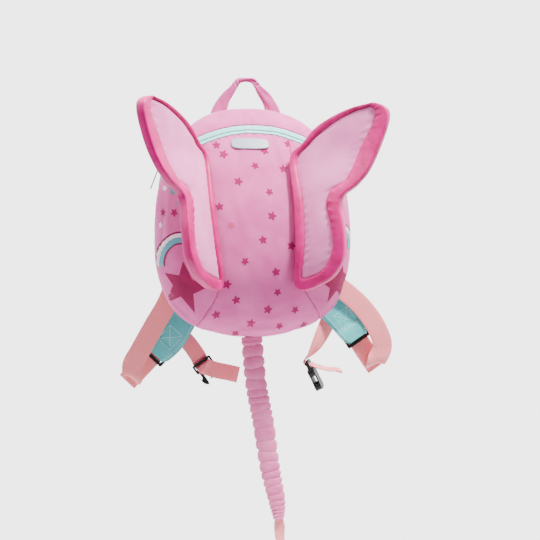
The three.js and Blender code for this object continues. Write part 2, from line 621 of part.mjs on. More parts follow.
// Shoulder straps: the pad's route down the back, and where the adjuster sits at its end
const STRAPS = {
  left: {
    side: -1, end: { x: -110, y: 6, z: -333 }, slope: 226,
    pad: [[-30, 2.6, -66, 0], [-32.4, 12, -86, 0], [-34.5, 24, -112, 0], [-38, 32, -150, -2], [-47, 32, -200, -8], [-61, 21, -250, -22], [-82, 11, -295, -38]],
    webbing: [[-88, 1.2, -247, -22], [-97, 1.5, -272, -26], [-115, -1, -303, -30], [-132, -4, -333, -33], [-141, -4, -350, -38]],
  },
  right: {
    side: 1, end: { x: 140, y: 6, z: -314 }, slope: -56,
    pad: [[30, 2.6, -66, 0], [32.4, 12, -86, 0], [36, 24, -112, 0], [43, 32, -150, 4], [59, 32, -200, 18], [86, 19, -245, 34], [115, 10, -281, 36]],
    webbing: [[90, 1.2, -238, 40], [118, 1.5, -254, 42], [148, -1, -280, 36], [167, -4, -308, 22], [173.5, -4, -330, 18]],
  },
};
const LOCK_HALF = LOCK.length / 2;

function lockAxes(strap) {
  const along = vec(Math.cos(rad(strap.slope)), 0, Math.sin(rad(strap.slope)));
  const across = vec(0, 1, 0).cross(along).normalize();
  const centre = vec(strap.end.x, strap.end.y, strap.end.z);
  const at = (out, back) => centre.clone().addScaledVector(along, out).add(vec(0, back, 0));
  return { along, across, at };
}

function shoulderPad(strap) {
  const { across, at } = lockAxes(strap);
  const rows = strap.pad.map(([x, y, z, lean]) => ({
    point: vec(x, y, z), across: acrossAt(lean), width: PAD.width, thickness: PAD.thickness,
  }));
  rows[0].width = PAD.endWidth;
  const endAcross = across.clone().multiplyScalar(across.dot(rows[rows.length - 1].across) < 0 ? -1 : 1);
  rows.push({ point: at(-LOCK_HALF - 9, 0), across: endAcross, width: lerp(PAD.width, PAD.endWidth, 0.45), thickness: PAD.thickness * 0.8 });
  rows.push({ point: at(-LOCK_HALF - CLEARANCE, 0), across: endAcross, width: PAD.endWidth, thickness: PAD.endThickness });
  return bandGeometry(rows, 22, SOFT_SECTION);
}

// Rectangle with slots, cut by holes in its shape, laid in the strap's own axes
function slottedPlate(width, length, thickness, slots) {
  const shape = new THREE.Shape();
  const corner = 2;
  const [w, l] = [width / 2, length / 2];
  shape.moveTo(-w + corner, -l).lineTo(w - corner, -l).quadraticCurveTo(w, -l, w, -l + corner);
  shape.lineTo(w, l - corner).quadraticCurveTo(w, l, w - corner, l).lineTo(-w + corner, l);
  shape.quadraticCurveTo(-w, l, -w, l - corner).lineTo(-w, -l + corner).quadraticCurveTo(-w, -l, -w + corner, -l);
  slots.forEach(({ centre, span, gap }) => {
    const hole = new THREE.Path();
    hole.moveTo(-span / 2, centre - gap / 2).lineTo(-span / 2, centre + gap / 2);
    hole.lineTo(span / 2, centre + gap / 2).lineTo(span / 2, centre - gap / 2).closePath();
    shape.holes.push(hole);
  });
  const geometry = new THREE.ExtrudeGeometry(shape, { depth: thickness, bevelEnabled: false, curveSegments: 3 });
  geometry.translate(0, 0, -thickness / 2);
  return geometry;
}

function ladderLock(strap) {
  const { along, across, at } = lockAxes(strap);
  const reach = LOCK.bar / 2 + LOCK.slot / 2;
  const slots = [reach, -reach].map((centre) => ({ centre, span: WEBBING.width + 2, gap: LOCK.slot }));
  const geometry = slottedPlate(LOCK.width, LOCK.length, LOCK.thickness, slots);
  const basis = new THREE.Matrix4().makeBasis(across, along, across.clone().cross(along));
  return cleanSolid(geometry.applyMatrix4(basis.setPosition(at(0, 0))));
}

function cleanSolid(geometry) {
  geometry.deleteAttribute('normal');
  geometry.deleteAttribute('uv');
  const solid = mergeVertices(geometry, 1e-4);
  return signedVolume(solid) < 0 ? turnedOver(solid) : solid;
}

// Weave through the adjuster: distance along the strap from its middle, and height behind it
const WEAVE_IN = [[26, 3.0], [10, 3.1], [7.3, 2.7], [5.2, 0.3], [3.7, -2.5], [0, -3.1]];
const WEAVE_OUT = [[-3.7, -2.5], [-5.2, 0.2], [-5.2, 3.4], [-2.6, 6.2], [4, 6.9], [14, 7.0], [26, 7.0]];
const TURN = { out: 41, back: 2.4 };
const TAIL_OUT = 53;

function shoulderWebbing(strap) {
  const { across, at } = lockAxes(strap);
  const size = { width: WEBBING.width, thickness: WEBBING.thickness };
  const facing = (row) => (row.dot(acrossAt(strap.webbing[4][3])) < 0 ? row.clone().multiplyScalar(-1) : row);
  const lockAcross = facing(across);
  const front = strap.webbing.map(([x, y, z, lean]) => ({ point: vec(x, y, z), across: acrossAt(lean), ...size }));
  const [turnLow, turnHigh] = [at(TURN.out + 2.5, -9), at(TURN.out + 4.5, -4)];
  const turnAcross = front[front.length - 1].across.clone().add(lockAcross).normalize();
  const rows = [
    ...front,
    { point: turnLow, across: turnAcross, ...size },
    { point: turnHigh, across: turnAcross, ...size },
    { point: at(TURN.out, TURN.back - 0.4), across: lockAcross, ...size },
    ...WEAVE_IN.map(([out, back]) => ({ point: at(out, back), across: lockAcross, ...size })),
    ...WEAVE_OUT.map(([out, back]) => ({ point: at(out, back), across: lockAcross, ...size })),
    { point: at(TAIL_OUT - WEBBING.hem - 1, 6.6), across: lockAcross, ...size },
    { point: at(TAIL_OUT - WEBBING.hem, 6.4), across: lockAcross, width: WEBBING.width, thickness: WEBBING.thickness * 1.9 },
    { point: at(TAIL_OUT, 5.4), across: lockAcross, width: WEBBING.width, thickness: WEBBING.thickness * 1.9 },
  ];
  return bandGeometry(rows, 84);
}

// Chest straps: route, width direction and twist from under the pad to the buckle, then the free tail
const CHEST_STRAPS = {
  left: {
    route: [[-92, 16.4, -298, 44, 0], [-80, 15.2, -313, 44, 0], [-66, 10, -330, 40, 0], [-58, 6.4, -343, 36, 0]],
    buckle: { x: -53.7, y: 4, z: -350, slope: -54, twist: 0 },
    tail: [[-46, -1.0, -354.5, 50, 0], [-36, -2, -357.5, 58, 6], [-24, -1.5, -360, 62, 8], [-10, -1, -363.5, 62, 4]],
  },
  right: {
    route: [[112, 16.2, -286, -25, 0], [104, 14, -305, -25, 8], [92, 9, -326, -15, 34], [82, 6, -339, 0, 58]],
    buckle: { x: 80.5, y: 4, z: -352, slope: -64, twist: -72 },
    tail: [[94, 4.6, -355.2, 40, 74], [104, 4.5, -358.2, 70, 78], [113, 4.5, -358.6, 86, 80], [122, 4.5, -360.5, 86, 80]],
  },
};

function buckleAxes({ x, y, z, slope, twist }) {
  const along = vec(Math.cos(rad(slope)), 0, Math.sin(rad(slope)));
  const flat = vec(0, 1, 0).cross(along).normalize();
  const across = flat.multiplyScalar(Math.cos(rad(twist))).add(vec(0, Math.sin(rad(twist)), 0));
  const face = across.clone().cross(along).normalize();
  const centre = vec(x, y, z);
  const at = (out, up) => centre.clone().addScaledVector(along, out).addScaledVector(face, up);
  return { along, across, face, at };
}

const BUCKLE_BAR = { slotGap: 4.6, edge: 2.6, thickness: 4 };
const BAR_WRAP = [[-6.5, 3.5], [-3.6, 3.4], [-1.3, 2.6], [0, 0], [1.2, -2.7], [3.0, -5.0]];

// Webbing over the bar from one face of the buckle (up is 1 or -1) and through its slot to the other
function chestWebbing(strap, up) {
  const { across, at } = buckleAxes(strap.buckle);
  const size = { width: CHEST.width, thickness: CHEST.thickness };
  const route = strap.route.map(([x, y, z, lean, twist]) => ({ point: vec(x, y, z), across: acrossAt(lean, twist), ...size }));
  const same = (row, other) => (row.dot(other) < 0 ? row.clone().multiplyScalar(-1) : row);
  const barAcross = same(across, route[route.length - 1].across);
  const wrap = BAR_WRAP.map(([out, height]) => ({ point: at(out, height * up), across: barAcross, ...size }));
  const tail = strap.tail.map(([x, y, z, lean, twist]) => ({ point: vec(x, y, z), across: same(acrossAt(lean, twist), barAcross), ...size }));
  const end = tail[tail.length - 1];
  const before = tail[tail.length - 2];
  const way = end.point.clone().sub(before.point).normalize();
  const hemStart = { ...end, point: end.point.clone().addScaledVector(way, -CHEST.hem + 0.4), thickness: CHEST.thickness };
  const hemRise = { ...end, point: end.point.clone().addScaledVector(way, -CHEST.hem + 1.2), thickness: CHEST.thickness * 1.9 };
  const rows = [...route, ...wrap, ...tail.slice(0, -1), hemStart, hemRise, { ...end, thickness: CHEST.thickness * 1.9 }];
  return bandGeometry(rows, 56);
}

let wasm;
function toManifold(geometry) {
  const solid = cleanSolid(geometry.clone());
  return new wasm.Manifold(new wasm.Mesh({
    numProp: 3,
    vertProperties: new Float32Array(solid.getAttribute('position').array),
    triVerts: new Uint32Array(solid.getIndex().array),
  }));
}

function fromManifold(solid) {
  const mesh = solid.getMesh();
  const geometry = new THREE.BufferGeometry();
  geometry.setAttribute('position', new THREE.Float32BufferAttribute(mesh.vertProperties, 3));
  geometry.setIndex([...mesh.triVerts]);
  return geometry;
}

function block(width, length, height, x, y, z) {
  return toManifold(new THREE.BoxGeometry(width, length, height).translate(x, y, z));
}

// Plug half: slotted base, guide tongue and two sprung arms. Local x across, y along, z through
function buckleMale() {
  const { along, across, face, at } = buckleAxes(CHEST_STRAPS.left.buckle);
  const base = slottedPlate(BUCKLE.width, BUCKLE.maleBase, BUCKLE_BAR.thickness, [
    { centre: -BUCKLE.maleBase / 2 + BUCKLE_BAR.edge + BUCKLE_BAR.slotGap / 2, span: CHEST.width + 1.2, gap: BUCKLE_BAR.slotGap },
  ]).translate(0, BUCKLE.maleBase / 2 - BUCKLE_BAR.edge - BUCKLE_BAR.slotGap / 2, 0);
  const armShape = (side) => {
    const shape = new THREE.Shape();
    const [inner, outer] = [BUCKLE.width / 2 - 6.4, BUCKLE.width / 2 - 1.2];
    const start = BUCKLE.maleBase - 6;
    const tip = start + BUCKLE.prong;
    shape.moveTo(side * inner, start).lineTo(side * inner, tip - 6);
    shape.quadraticCurveTo(side * inner, tip, side * (inner + 2), tip);
    shape.quadraticCurveTo(side * (outer + 1.6), tip - 3, side * (outer + 1.6), tip - 9);
    shape.lineTo(side * (outer - 1.5), tip - 11).lineTo(side * (outer - 1.5), start).closePath();
    return toManifold(new THREE.ExtrudeGeometry(shape, { depth: 3.6, bevelEnabled: false, curveSegments: 4 }).translate(0, 0, -1.8));
  };
  const tongue = block(3.4, BUCKLE.prong - 4, 2.4, 0, BUCKLE.maleBase - 6 + (BUCKLE.prong - 4) / 2, 0);
  const solid = toManifold(base).add(armShape(1)).add(armShape(-1)).add(tongue);
  const basis = new THREE.Matrix4().makeBasis(across, along, face.clone().negate());
  return cleanSolid(fromManifold(solid).applyMatrix4(basis.setPosition(at(0, 0))));
}

// Socket half: hollow body open at its mouth and at both sides, with a slotted bar for the webbing
function buckleFemale() {
  const { along, across, face, at } = buckleAxes(CHEST_STRAPS.right.buckle);
  const shape = new THREE.Shape();
  const [w, start, end] = [BUCKLE.width / 2, BUCKLE_BAR.slotGap + 1, BUCKLE.femaleLength];
  shape.moveTo(-w + 1.5, start).lineTo(w - 1.5, start).lineTo(w, start + 4).lineTo(w - 2, start + 13);
  shape.lineTo(w, end - 5).quadraticCurveTo(w - 1, end, w - 5, end).lineTo(-w + 5, end);
  shape.quadraticCurveTo(-w + 1, end, -w, end - 5).lineTo(-w + 2, start + 13).lineTo(-w, start + 4).closePath();
  const body = toManifold(new THREE.ExtrudeGeometry(shape, { depth: BUCKLE.thickness, bevelEnabled: false, curveSegments: 4 })
    .translate(0, 0, -BUCKLE.thickness / 2));
  const inside = BUCKLE.thickness - 2 * BUCKLE.lip;
  const cavity = block(BUCKLE.width - 5, end - start - 2.5, inside, 0, (start + 2.5 + end) / 2 + 0.5, 0);
  const windows = block(BUCKLE.width + 4, 11, inside, 0, end - 14, 0);
  const bar = toManifold(slottedPlate(BUCKLE.width - 1, 13, BUCKLE_BAR.thickness, [
    { centre: -6.5 + BUCKLE_BAR.edge + BUCKLE_BAR.slotGap / 2, span: CHEST.width + 1.2, gap: BUCKLE_BAR.slotGap },
  ]).translate(0, 6.5 - BUCKLE_BAR.edge - BUCKLE_BAR.slotGap / 2, 0));
  const solid = body.subtract(cavity).subtract(windows).add(bar.subtract(block(BUCKLE.width, 20, 20, 0, start + 2 + 10, 0)));
  const basis = new THREE.Matrix4().makeBasis(across, along, face.clone().negate());
  return cleanSolid(fromManifold(solid).applyMatrix4(basis.setPosition(at(0, 0))));
}

// Rein: a gathered sleeve from the bottom of the bag, then webbing and a hand loop
const REIN_ROUTE = [[0.000, 0], [0.26, 5.5], [0.46, 13.9], [0.72, 22.6], [0.91, 31.5], [1.000, 33.4]];
const GATHERS = 20;

function reinStart() {
  const lowest = bagForm(0, -FORM.rim);
  return vec(0, lowest.y, lowest.z);
}

function reinPoint(share) {
  const start = reinStart();
  const curve = new THREE.CatmullRomCurve3(REIN_ROUTE.map(([drop, x]) => vec(start.x + x, start.y, start.z - drop * REIN.sleeveLength)));
  return { point: curve.getPoint(share), tangent: curve.getTangent(share) };
}

function reinSleeve() {
  const rings = [];
  const steps = GATHERS * 2;
  for (let k = 0; k <= steps; k += 1) {
    const share = k / steps;
    const { point, tangent } = reinPoint(share);
    const ridge = k % 2 === 1 ? 1 : 0.86;
    const uneven = 1 + 0.04 * Math.sin(k * 2.3);
    const width = lerp(REIN.width, REIN.endWidth, Math.max(0, (share - 0.35) / 0.65) ** 1.6) * (share > 0.97 ? 0.95 : 1);
    const across = vec(1, 0, 0).addScaledVector(tangent, -tangent.x).normalize();
    const tilt = 0.14 * Math.sin(k * 1.7);
    const deep = tangent.clone().cross(across).normalize();
    rings.push(SOFT_SECTION.map(([w, n]) => point.clone()
      .addScaledVector(across, w * width * ridge * uneven)
      .addScaledVector(deep, n * REIN.thickness * ridge)
      .addScaledVector(tangent, k > 0 && k < steps ? w * width * tilt * 0.5 : 0)
      .add(vec(0, 0, k === 0 ? -4 * CLEARANCE : 0))));
  }
  const flat = SOFT_SECTION.map(([w, n]) => new THREE.Vector2(w, n));
  return loftGeometry(rings, flat, flat);
}

// Webbing leaves the sleeve and runs down one side of the hand loop, round and up the other side
function reinWebbing() {
  const { point, tangent } = reinPoint(1);
  const side = vec(1, 0, 0).addScaledVector(tangent, -tangent.x).normalize();
  const at = (down, out) => point.clone().addScaledVector(tangent, down).addScaledVector(side, out);
  const neck = 26;
  const half = LOOP.width / 2;
  const route = [
    [CLEARANCE + 0.1, 0, 0.62], [10, 0, 0.85], [neck, 0, 1], [neck + LOOP.length * 0.3, half * 0.8, 1],
    [neck + LOOP.length * 0.65, half, 1], [neck + LOOP.length * 0.93, half * 0.62, 1], [neck + LOOP.length, 0, 1],
    [neck + LOOP.length * 0.93, -half * 0.62, 1], [neck + LOOP.length * 0.65, -half, 1],
    [neck + LOOP.length * 0.3, -half * 0.8, 1], [neck + 3, -3, 1],
  ];
  const rows = route.map(([down, out, share]) => ({
    point: at(down, out), across: vec(0, 1, 0), width: REIN.webWidth * share, thickness: REIN.webThickness,
  }));
  return bandGeometry(rows, 42);
}

// Slider at the left end of the zip, its face turned along the bag's surface, and the wire pull
function sliderPlace() {
  const level = -112;
  let angle = -40;
  while (angle > -BELT.dropAngle && onBag(beltChart(angle)).z > level) angle -= 0.25;
  const chart = beltChart(angle);
  const out = bagNormal(chart.u, chart.v);
  out.y = 0;
  out.normalize();
  const down = vec(out.z, 0, -out.x).multiplyScalar(out.x < 0 ? -1 : 1);
  const surface = bagForm(chart.u, chart.v).addScaledVector(bagNormal(chart.u, chart.v), ZIP.coilProud);
  const base = surface.addScaledVector(out, 2 * CLEARANCE);
  return { base, out, down: down.z > 0 ? down.negate() : down };
}

const PULL_LIFT = PULL.wire + 0.55;

function zipSlider() {
  const { base, out, down } = sliderPlace();
  const across = out.clone().cross(down).normalize();
  const shape = new THREE.Shape();
  const [w, l] = [SLIDER.width / 2, SLIDER.length / 2];
  shape.moveTo(-w, l * 0.2).quadraticCurveTo(-w, l, 0, l).quadraticCurveTo(w, l, w, l * 0.2);
  shape.lineTo(w * 0.62, -l).lineTo(-w * 0.62, -l).closePath();
  const body = toManifold(new THREE.ExtrudeGeometry(shape, { depth: SLIDER.thickness, bevelEnabled: false, curveSegments: 5 }));
  const arch = new THREE.TorusGeometry(SLIDER.bridgeRadius, SLIDER.bridgeWire, 6, 20).rotateY(Math.PI / 2)
    .translate(0, 0, SLIDER.thickness - 0.4);
  const below = block(20, 20, 20, 0, 0, SLIDER.thickness - 0.6 - 10);
  const solid = body.add(toManifold(arch).subtract(below));
  const basis = new THREE.Matrix4().makeBasis(across, down.clone().negate(), out.clone());
  const geometry = fromManifold(solid).applyMatrix4(basis.setPosition(base));
  return cleanSolid(geometry);
}

function pullAxis() {
  const { base, out, down } = sliderPlace();
  return { centre: base.clone().addScaledVector(out, SLIDER.thickness + PULL_LIFT), down, across: out.clone().cross(down).normalize() };
}

// Closed loop of wire through points of a plane
function wireLoop(points, normal, radius, sides) {
  const count = points.length;
  const vertices = [];
  points.forEach((point, k) => {
    const tangent = points[(k + 1) % count].clone().sub(points[(k + count - 1) % count]).normalize();
    const side = tangent.clone().cross(normal).normalize();
    range(sides).forEach((i) => {
      const angle = (i / sides) * Math.PI * 2;
      vertices.push(point.clone().addScaledVector(side, Math.cos(angle) * radius).addScaledVector(normal, Math.sin(angle) * radius));
    });
  });
  const faces = [];
  range(count).forEach((k) => range(sides).forEach((i) => {
    const [a, b] = [k * sides + i, k * sides + ((i + 1) % sides)];
    const next = ((k + 1) % count) * sides;
    faces.push(a, b, next + ((i + 1) % sides), a, next + ((i + 1) % sides), next + i);
  }));
  return meshGeometry(vertices, faces);
}

function zipPull() {
  const { centre, across, down } = pullAxis();
  const [half, low] = [PULL.width / 2 - PULL.wire, PULL.length - PULL.wire * 2];
  const corner = 1.1;
  const flat = [
    [-half, -corner], [-half * 0.7, 0], [half * 0.7, 0], [half, -corner], [half * 1.05, -low * 0.5], [half * 0.72, -low + corner],
    [half * 0.3, -low], [-half * 0.3, -low], [-half * 0.72, -low + corner], [-half * 1.05, -low * 0.5],
  ];
  const points = flat.map(([a, up]) => centre.clone().addScaledVector(across, a).addScaledVector(down, -up));
  return wireLoop(points, across.clone().cross(down).normalize(), PULL.wire, 6);
}

// Colours and finishes
const finish = (color, roughness, metalness = 0) => new THREE.MeshStandardMaterial({ color, roughness, metalness });
const PINK = finish(0xe3a2ca, 0.85);
const SATIN = finish(0xe8286f, 0.45);
const PALE = finish(0xf4c8e4, 0.8);
const TEAL = finish(0x9cd6d6, 0.85);
const ZIP_TEAL = finish(0xb4e6e0, 0.6);
const CORAL = finish(0xf0a8aa, 0.8);
const BLACK = finish(0x1e2022, 0.4);
const GREY = finish(0xb9c3c8, 0.35);
const STEEL = finish(0x9a9a98, 0.3, 1);

const group = new THREE.Group();
function addPiece(name, geometry, material) {
  const mesh = new THREE.Mesh(geometry, material);
  mesh.name = name;
  group.add(mesh);
}

wasm = await Module();
wasm.setup();

addPiece('back_panel', backPanel(), PINK);
addPiece('crown_panel', crownPanel(), PINK);
addPiece('front_panel', frontPanel(), PINK);
addPiece('side_panel_left', sidePanel('left'), PINK);
addPiece('side_panel_right', sidePanel('right'), PINK);
addPiece('zip_tape_upper', zipBand(ZIP.coilWidth / 2, HIGH_EDGE, ZIP.tapeThickness, 0), ZIP_TEAL);
addPiece('zip_tape_lower', zipBand(LOW_EDGE, -ZIP.coilWidth / 2, ZIP.tapeThickness, 0), ZIP_TEAL);
addPiece('zip_coil', zipBand(-ZIP.coilWidth / 2, ZIP.coilWidth / 2, ZIP.coilThickness, ZIP.coilProud, half * 1.6), ZIP_TEAL);
addPiece('zip_slider', zipSlider(), STEEL);
addPiece('zip_pull', zipPull(), STEEL);
addPiece('name_plate', namePlate(), GREY);
addPiece('grab_handle', grabHandle(), PINK);
Object.entries(WINGS).forEach(([hand, wing]) => {
  const { pad, inset } = wingPieces(wing);
  addPiece(`wing_pad_${hand}`, pad, SATIN);
  addPiece(`wing_inset_${hand}`, inset, PALE);
});
Object.entries(STRAPS).forEach(([hand, strap]) => {
  addPiece(`shoulder_pad_${hand}`, shoulderPad(strap), TEAL);
  addPiece(`ladder_lock_${hand}`, ladderLock(strap), BLACK);
  addPiece(`shoulder_webbing_${hand}`, shoulderWebbing(strap), CORAL);
});
addPiece('chest_webbing_left', chestWebbing(CHEST_STRAPS.left, -1), CORAL);
addPiece('chest_webbing_right', chestWebbing(CHEST_STRAPS.right, -1), CORAL);
addPiece('buckle_male', buckleMale(), BLACK);
addPiece('buckle_female', buckleFemale(), BLACK);
addPiece('rein_sleeve', reinSleeve(), PINK);
addPiece('rein_webbing', reinWebbing(), CORAL);

export default group;
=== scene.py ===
"""Detailed look of a toddler harness backpack with butterfly wings, laid over its solid model.

Lengths in the tables are millimetres and become metres when a mesh is made. The frame is the solid
model's own: +Z up, the wings face -Y, the origin is under the middle of the grab handle.
"""

import logging
import math
from dataclasses import dataclass, field
from enum import Enum
from typing import Callable, Optional, Sequence

import bmesh
import bpy
import numpy as np
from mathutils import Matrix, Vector
from mathutils.bvhtree import BVHTree


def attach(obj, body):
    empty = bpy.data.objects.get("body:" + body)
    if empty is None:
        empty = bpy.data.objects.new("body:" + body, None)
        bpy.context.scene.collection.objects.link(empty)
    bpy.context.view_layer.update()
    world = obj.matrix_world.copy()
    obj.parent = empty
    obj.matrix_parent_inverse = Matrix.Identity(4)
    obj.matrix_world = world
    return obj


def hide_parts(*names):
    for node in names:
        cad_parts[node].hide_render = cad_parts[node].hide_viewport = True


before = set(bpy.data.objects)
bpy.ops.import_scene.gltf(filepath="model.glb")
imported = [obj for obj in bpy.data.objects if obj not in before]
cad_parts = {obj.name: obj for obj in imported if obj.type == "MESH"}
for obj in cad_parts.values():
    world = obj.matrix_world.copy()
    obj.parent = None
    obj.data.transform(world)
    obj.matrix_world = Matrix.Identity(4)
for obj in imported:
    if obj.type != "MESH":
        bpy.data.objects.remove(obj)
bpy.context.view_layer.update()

LOG = logging.getLogger("backpack")
MM = 0.001
Array = np.ndarray


# Curves and grids


def super_norm(a: Array, b: Array, power: Array) -> Array:
    """Length of (a, b) in a rounded-square measure.

    Args:
        a: First component.
        b: Second component.
        power: 2 for a circle, more for a squarer shape.

    Returns:
        The length.
    """
    return (np.abs(a) ** power + np.abs(b) ** power) ** (1 / power)


def lerp(a: Array, b: Array, share: Array) -> Array:
    """Straight blend.

    Args:
        a: Value at share 0.
        b: Value at share 1.
        share: Share of the way.

    Returns:
        The blended value.
    """
    return a + (b - a) * share


def unit(vectors: Array) -> Array:
    """Vectors scaled to length 1.

    Args:
        vectors: Array whose last axis is the vector.

    Returns:
        The unit vectors.
    """
    return vectors / np.maximum(np.linalg.norm(vectors, axis=-1, keepdims=True), 1e-12)


class Curve:
    """Smooth curve through points, with rounder turns where points lie close together."""

    def __init__(self, points: Sequence[Sequence[float]], closed: bool = False) -> None:
        """Keeps the points.

        Args:
            points: The points in order.
            closed: True if the last point joins the first.
        """
        self.points = np.array(points, float)
        self.closed = closed

    def at(self, shares: Array) -> Array:
        """Points of the curve.

        Args:
            shares: Places from 0 to 1, evenly spread over the given points.

        Returns:
            One point for each share.
        """
        count = len(self.points)
        spans = count if self.closed else count - 1
        places = np.clip(np.asarray(shares, float), 0, 1) * spans
        low = np.minimum(np.floor(places).astype(int), spans - 1)
        part = (places - low)[:, None]
        a, b, c, d = (self._point(low + step) for step in (-1, 0, 1, 2))
        ab, bc, cd = (np.maximum(np.linalg.norm(q - p, axis=1, keepdims=True) ** 0.5, 1e-4)
                      for p, q in ((a, b), (b, c), (c, d)))
        start = ((b - a) / ab - (c - a) / (ab + bc) + (c - b) / bc) * bc
        end = ((c - b) / bc - (d - b) / (bc + cd) + (d - c) / cd) * bc
        square, cube = part ** 2, part ** 3
        return (b * (2 * cube - 3 * square + 1) + start * (cube - 2 * square + part)
                + c * (3 * square - 2 * cube) + end * (cube - square))

    def _point(self, index: Array) -> Array:
        """Points by index, carried on past the ends of an open curve.

        Args:
            index: Indices, which may run one past each end.

        Returns:
            The points.
        """
        count = len(self.points)
        if self.closed:
            return self.points[index % count]
        inside = self.points[np.clip(index, 0, count - 1)]
        before = 2 * self.points[0] - self.points[1]
        after = 2 * self.points[-1] - self.points[-2]
        inside = np.where((index < 0)[:, None], before, inside)
        return np.where((index > count - 1)[:, None], after, inside)


def running_length(points: Array, axis: int) -> Array:
    """Length run along one direction of a grid of points.

    Args:
        points: Grid of points, rows by columns by 3.
        axis: 0 along the rows' index, 1 along the columns' index.

    Returns:
        The length at each point, from 0.
    """
    steps = np.linalg.norm(np.diff(points, axis=axis), axis=-1)
    start = np.zeros_like(np.take(steps, [0], axis=axis))
    return np.concatenate([start, np.cumsum(steps, axis=axis)], axis=axis)


@dataclass
class Patch:
    """Grid of points that becomes a sheet, or a tube when its columns close.

    Attributes:
        points: Rows by columns by 3, in millimetres.
        thickness: Cloth thickness, 0 for a bare skin.
        wrapped: True if the last column lies on the first.
        capped: True to close the ends of a tube.
        slot: Index of the material.
    """

    points: Array
    thickness: float = 0.0
    wrapped: bool = False
    capped: bool = False
    slot: int = 0


def add_patch(bm: bmesh.types.BMesh, patch: Patch) -> None:
    """Adds a patch to a mesh, with its own lengths in centimetres as UV.

    Args:
        bm: Mesh to add to.
        patch: The patch.
    """
    rows, columns = patch.points.shape[:2]
    made = bmesh.new()
    layer = made.loops.layers.uv.new("UVMap")
    bmesh.ops.create_grid(made, x_segments=columns - 1, y_segments=rows - 1, size=1.0)
    across = np.mean(running_length(patch.points, 1), axis=0) / 10
    along = np.mean(running_length(patch.points, 0), axis=1) / 10
    place = {}
    for vertex in made.verts:
        i = round((vertex.co.x + 1) / 2 * (columns - 1))
        j = round((vertex.co.y + 1) / 2 * (rows - 1))
        place[vertex] = (i, j)
        vertex.co = Vector(patch.points[j, i] * MM)
    for face in made.faces:
        face.smooth = True
        for loop in face.loops:
            i, j = place[loop.vert]
            loop[layer].uv = (across[i], along[j])
    if patch.wrapped:
        bmesh.ops.remove_doubles(made, verts=made.verts, dist=2e-7)
    if patch.capped:
        edges = [edge for edge in made.edges if edge.is_boundary]
        bmesh.ops.holes_fill(made, edges=edges, sides=0)
    if patch.capped:
        bmesh.ops.recalc_face_normals(made, faces=made.faces)
    made.normal_update()
    if patch.thickness:
        bmesh.ops.solidify(made, geom=list(made.faces), thickness=patch.thickness * MM)
    for face in made.faces:
        face.material_index = patch.slot
    merge_into(bm, made)


def merge_into(bm: bmesh.types.BMesh, made: bmesh.types.BMesh) -> None:
    """Moves one mesh into another.

    Args:
        bm: Mesh that grows.
        made: Mesh that is used up.
    """
    scratch = bpy.data.meshes.new("scratch")
    made.to_mesh(scratch)
    made.free()
    bm.from_mesh(scratch)
    bpy.data.meshes.remove(scratch)


def finished_object(name: str, bm: bmesh.types.BMesh, materials: Sequence[bpy.types.Material]) -> bpy.types.Object:
    """Makes an object of a mesh and adds it to the scene.

    Args:
        name: Object name.
        bm: The mesh, used up here.
        materials: Materials in slot order.

    Returns:
        The object.
    """
    mesh = bpy.data.meshes.new(name)
    bm.to_mesh(mesh)
    bm.free()
    for material in materials:
        mesh.materials.append(material)
    made = bpy.data.objects.new(name, mesh)
    bpy.context.scene.collection.objects.link(made)
    return made


def new_mesh() -> bmesh.types.BMesh:
    """Empty mesh with a UV layer.

    Returns:
        The mesh.
    """
    bm = bmesh.new()
    bm.loops.layers.uv.new("UVMap")
    return bm


# The bag's form


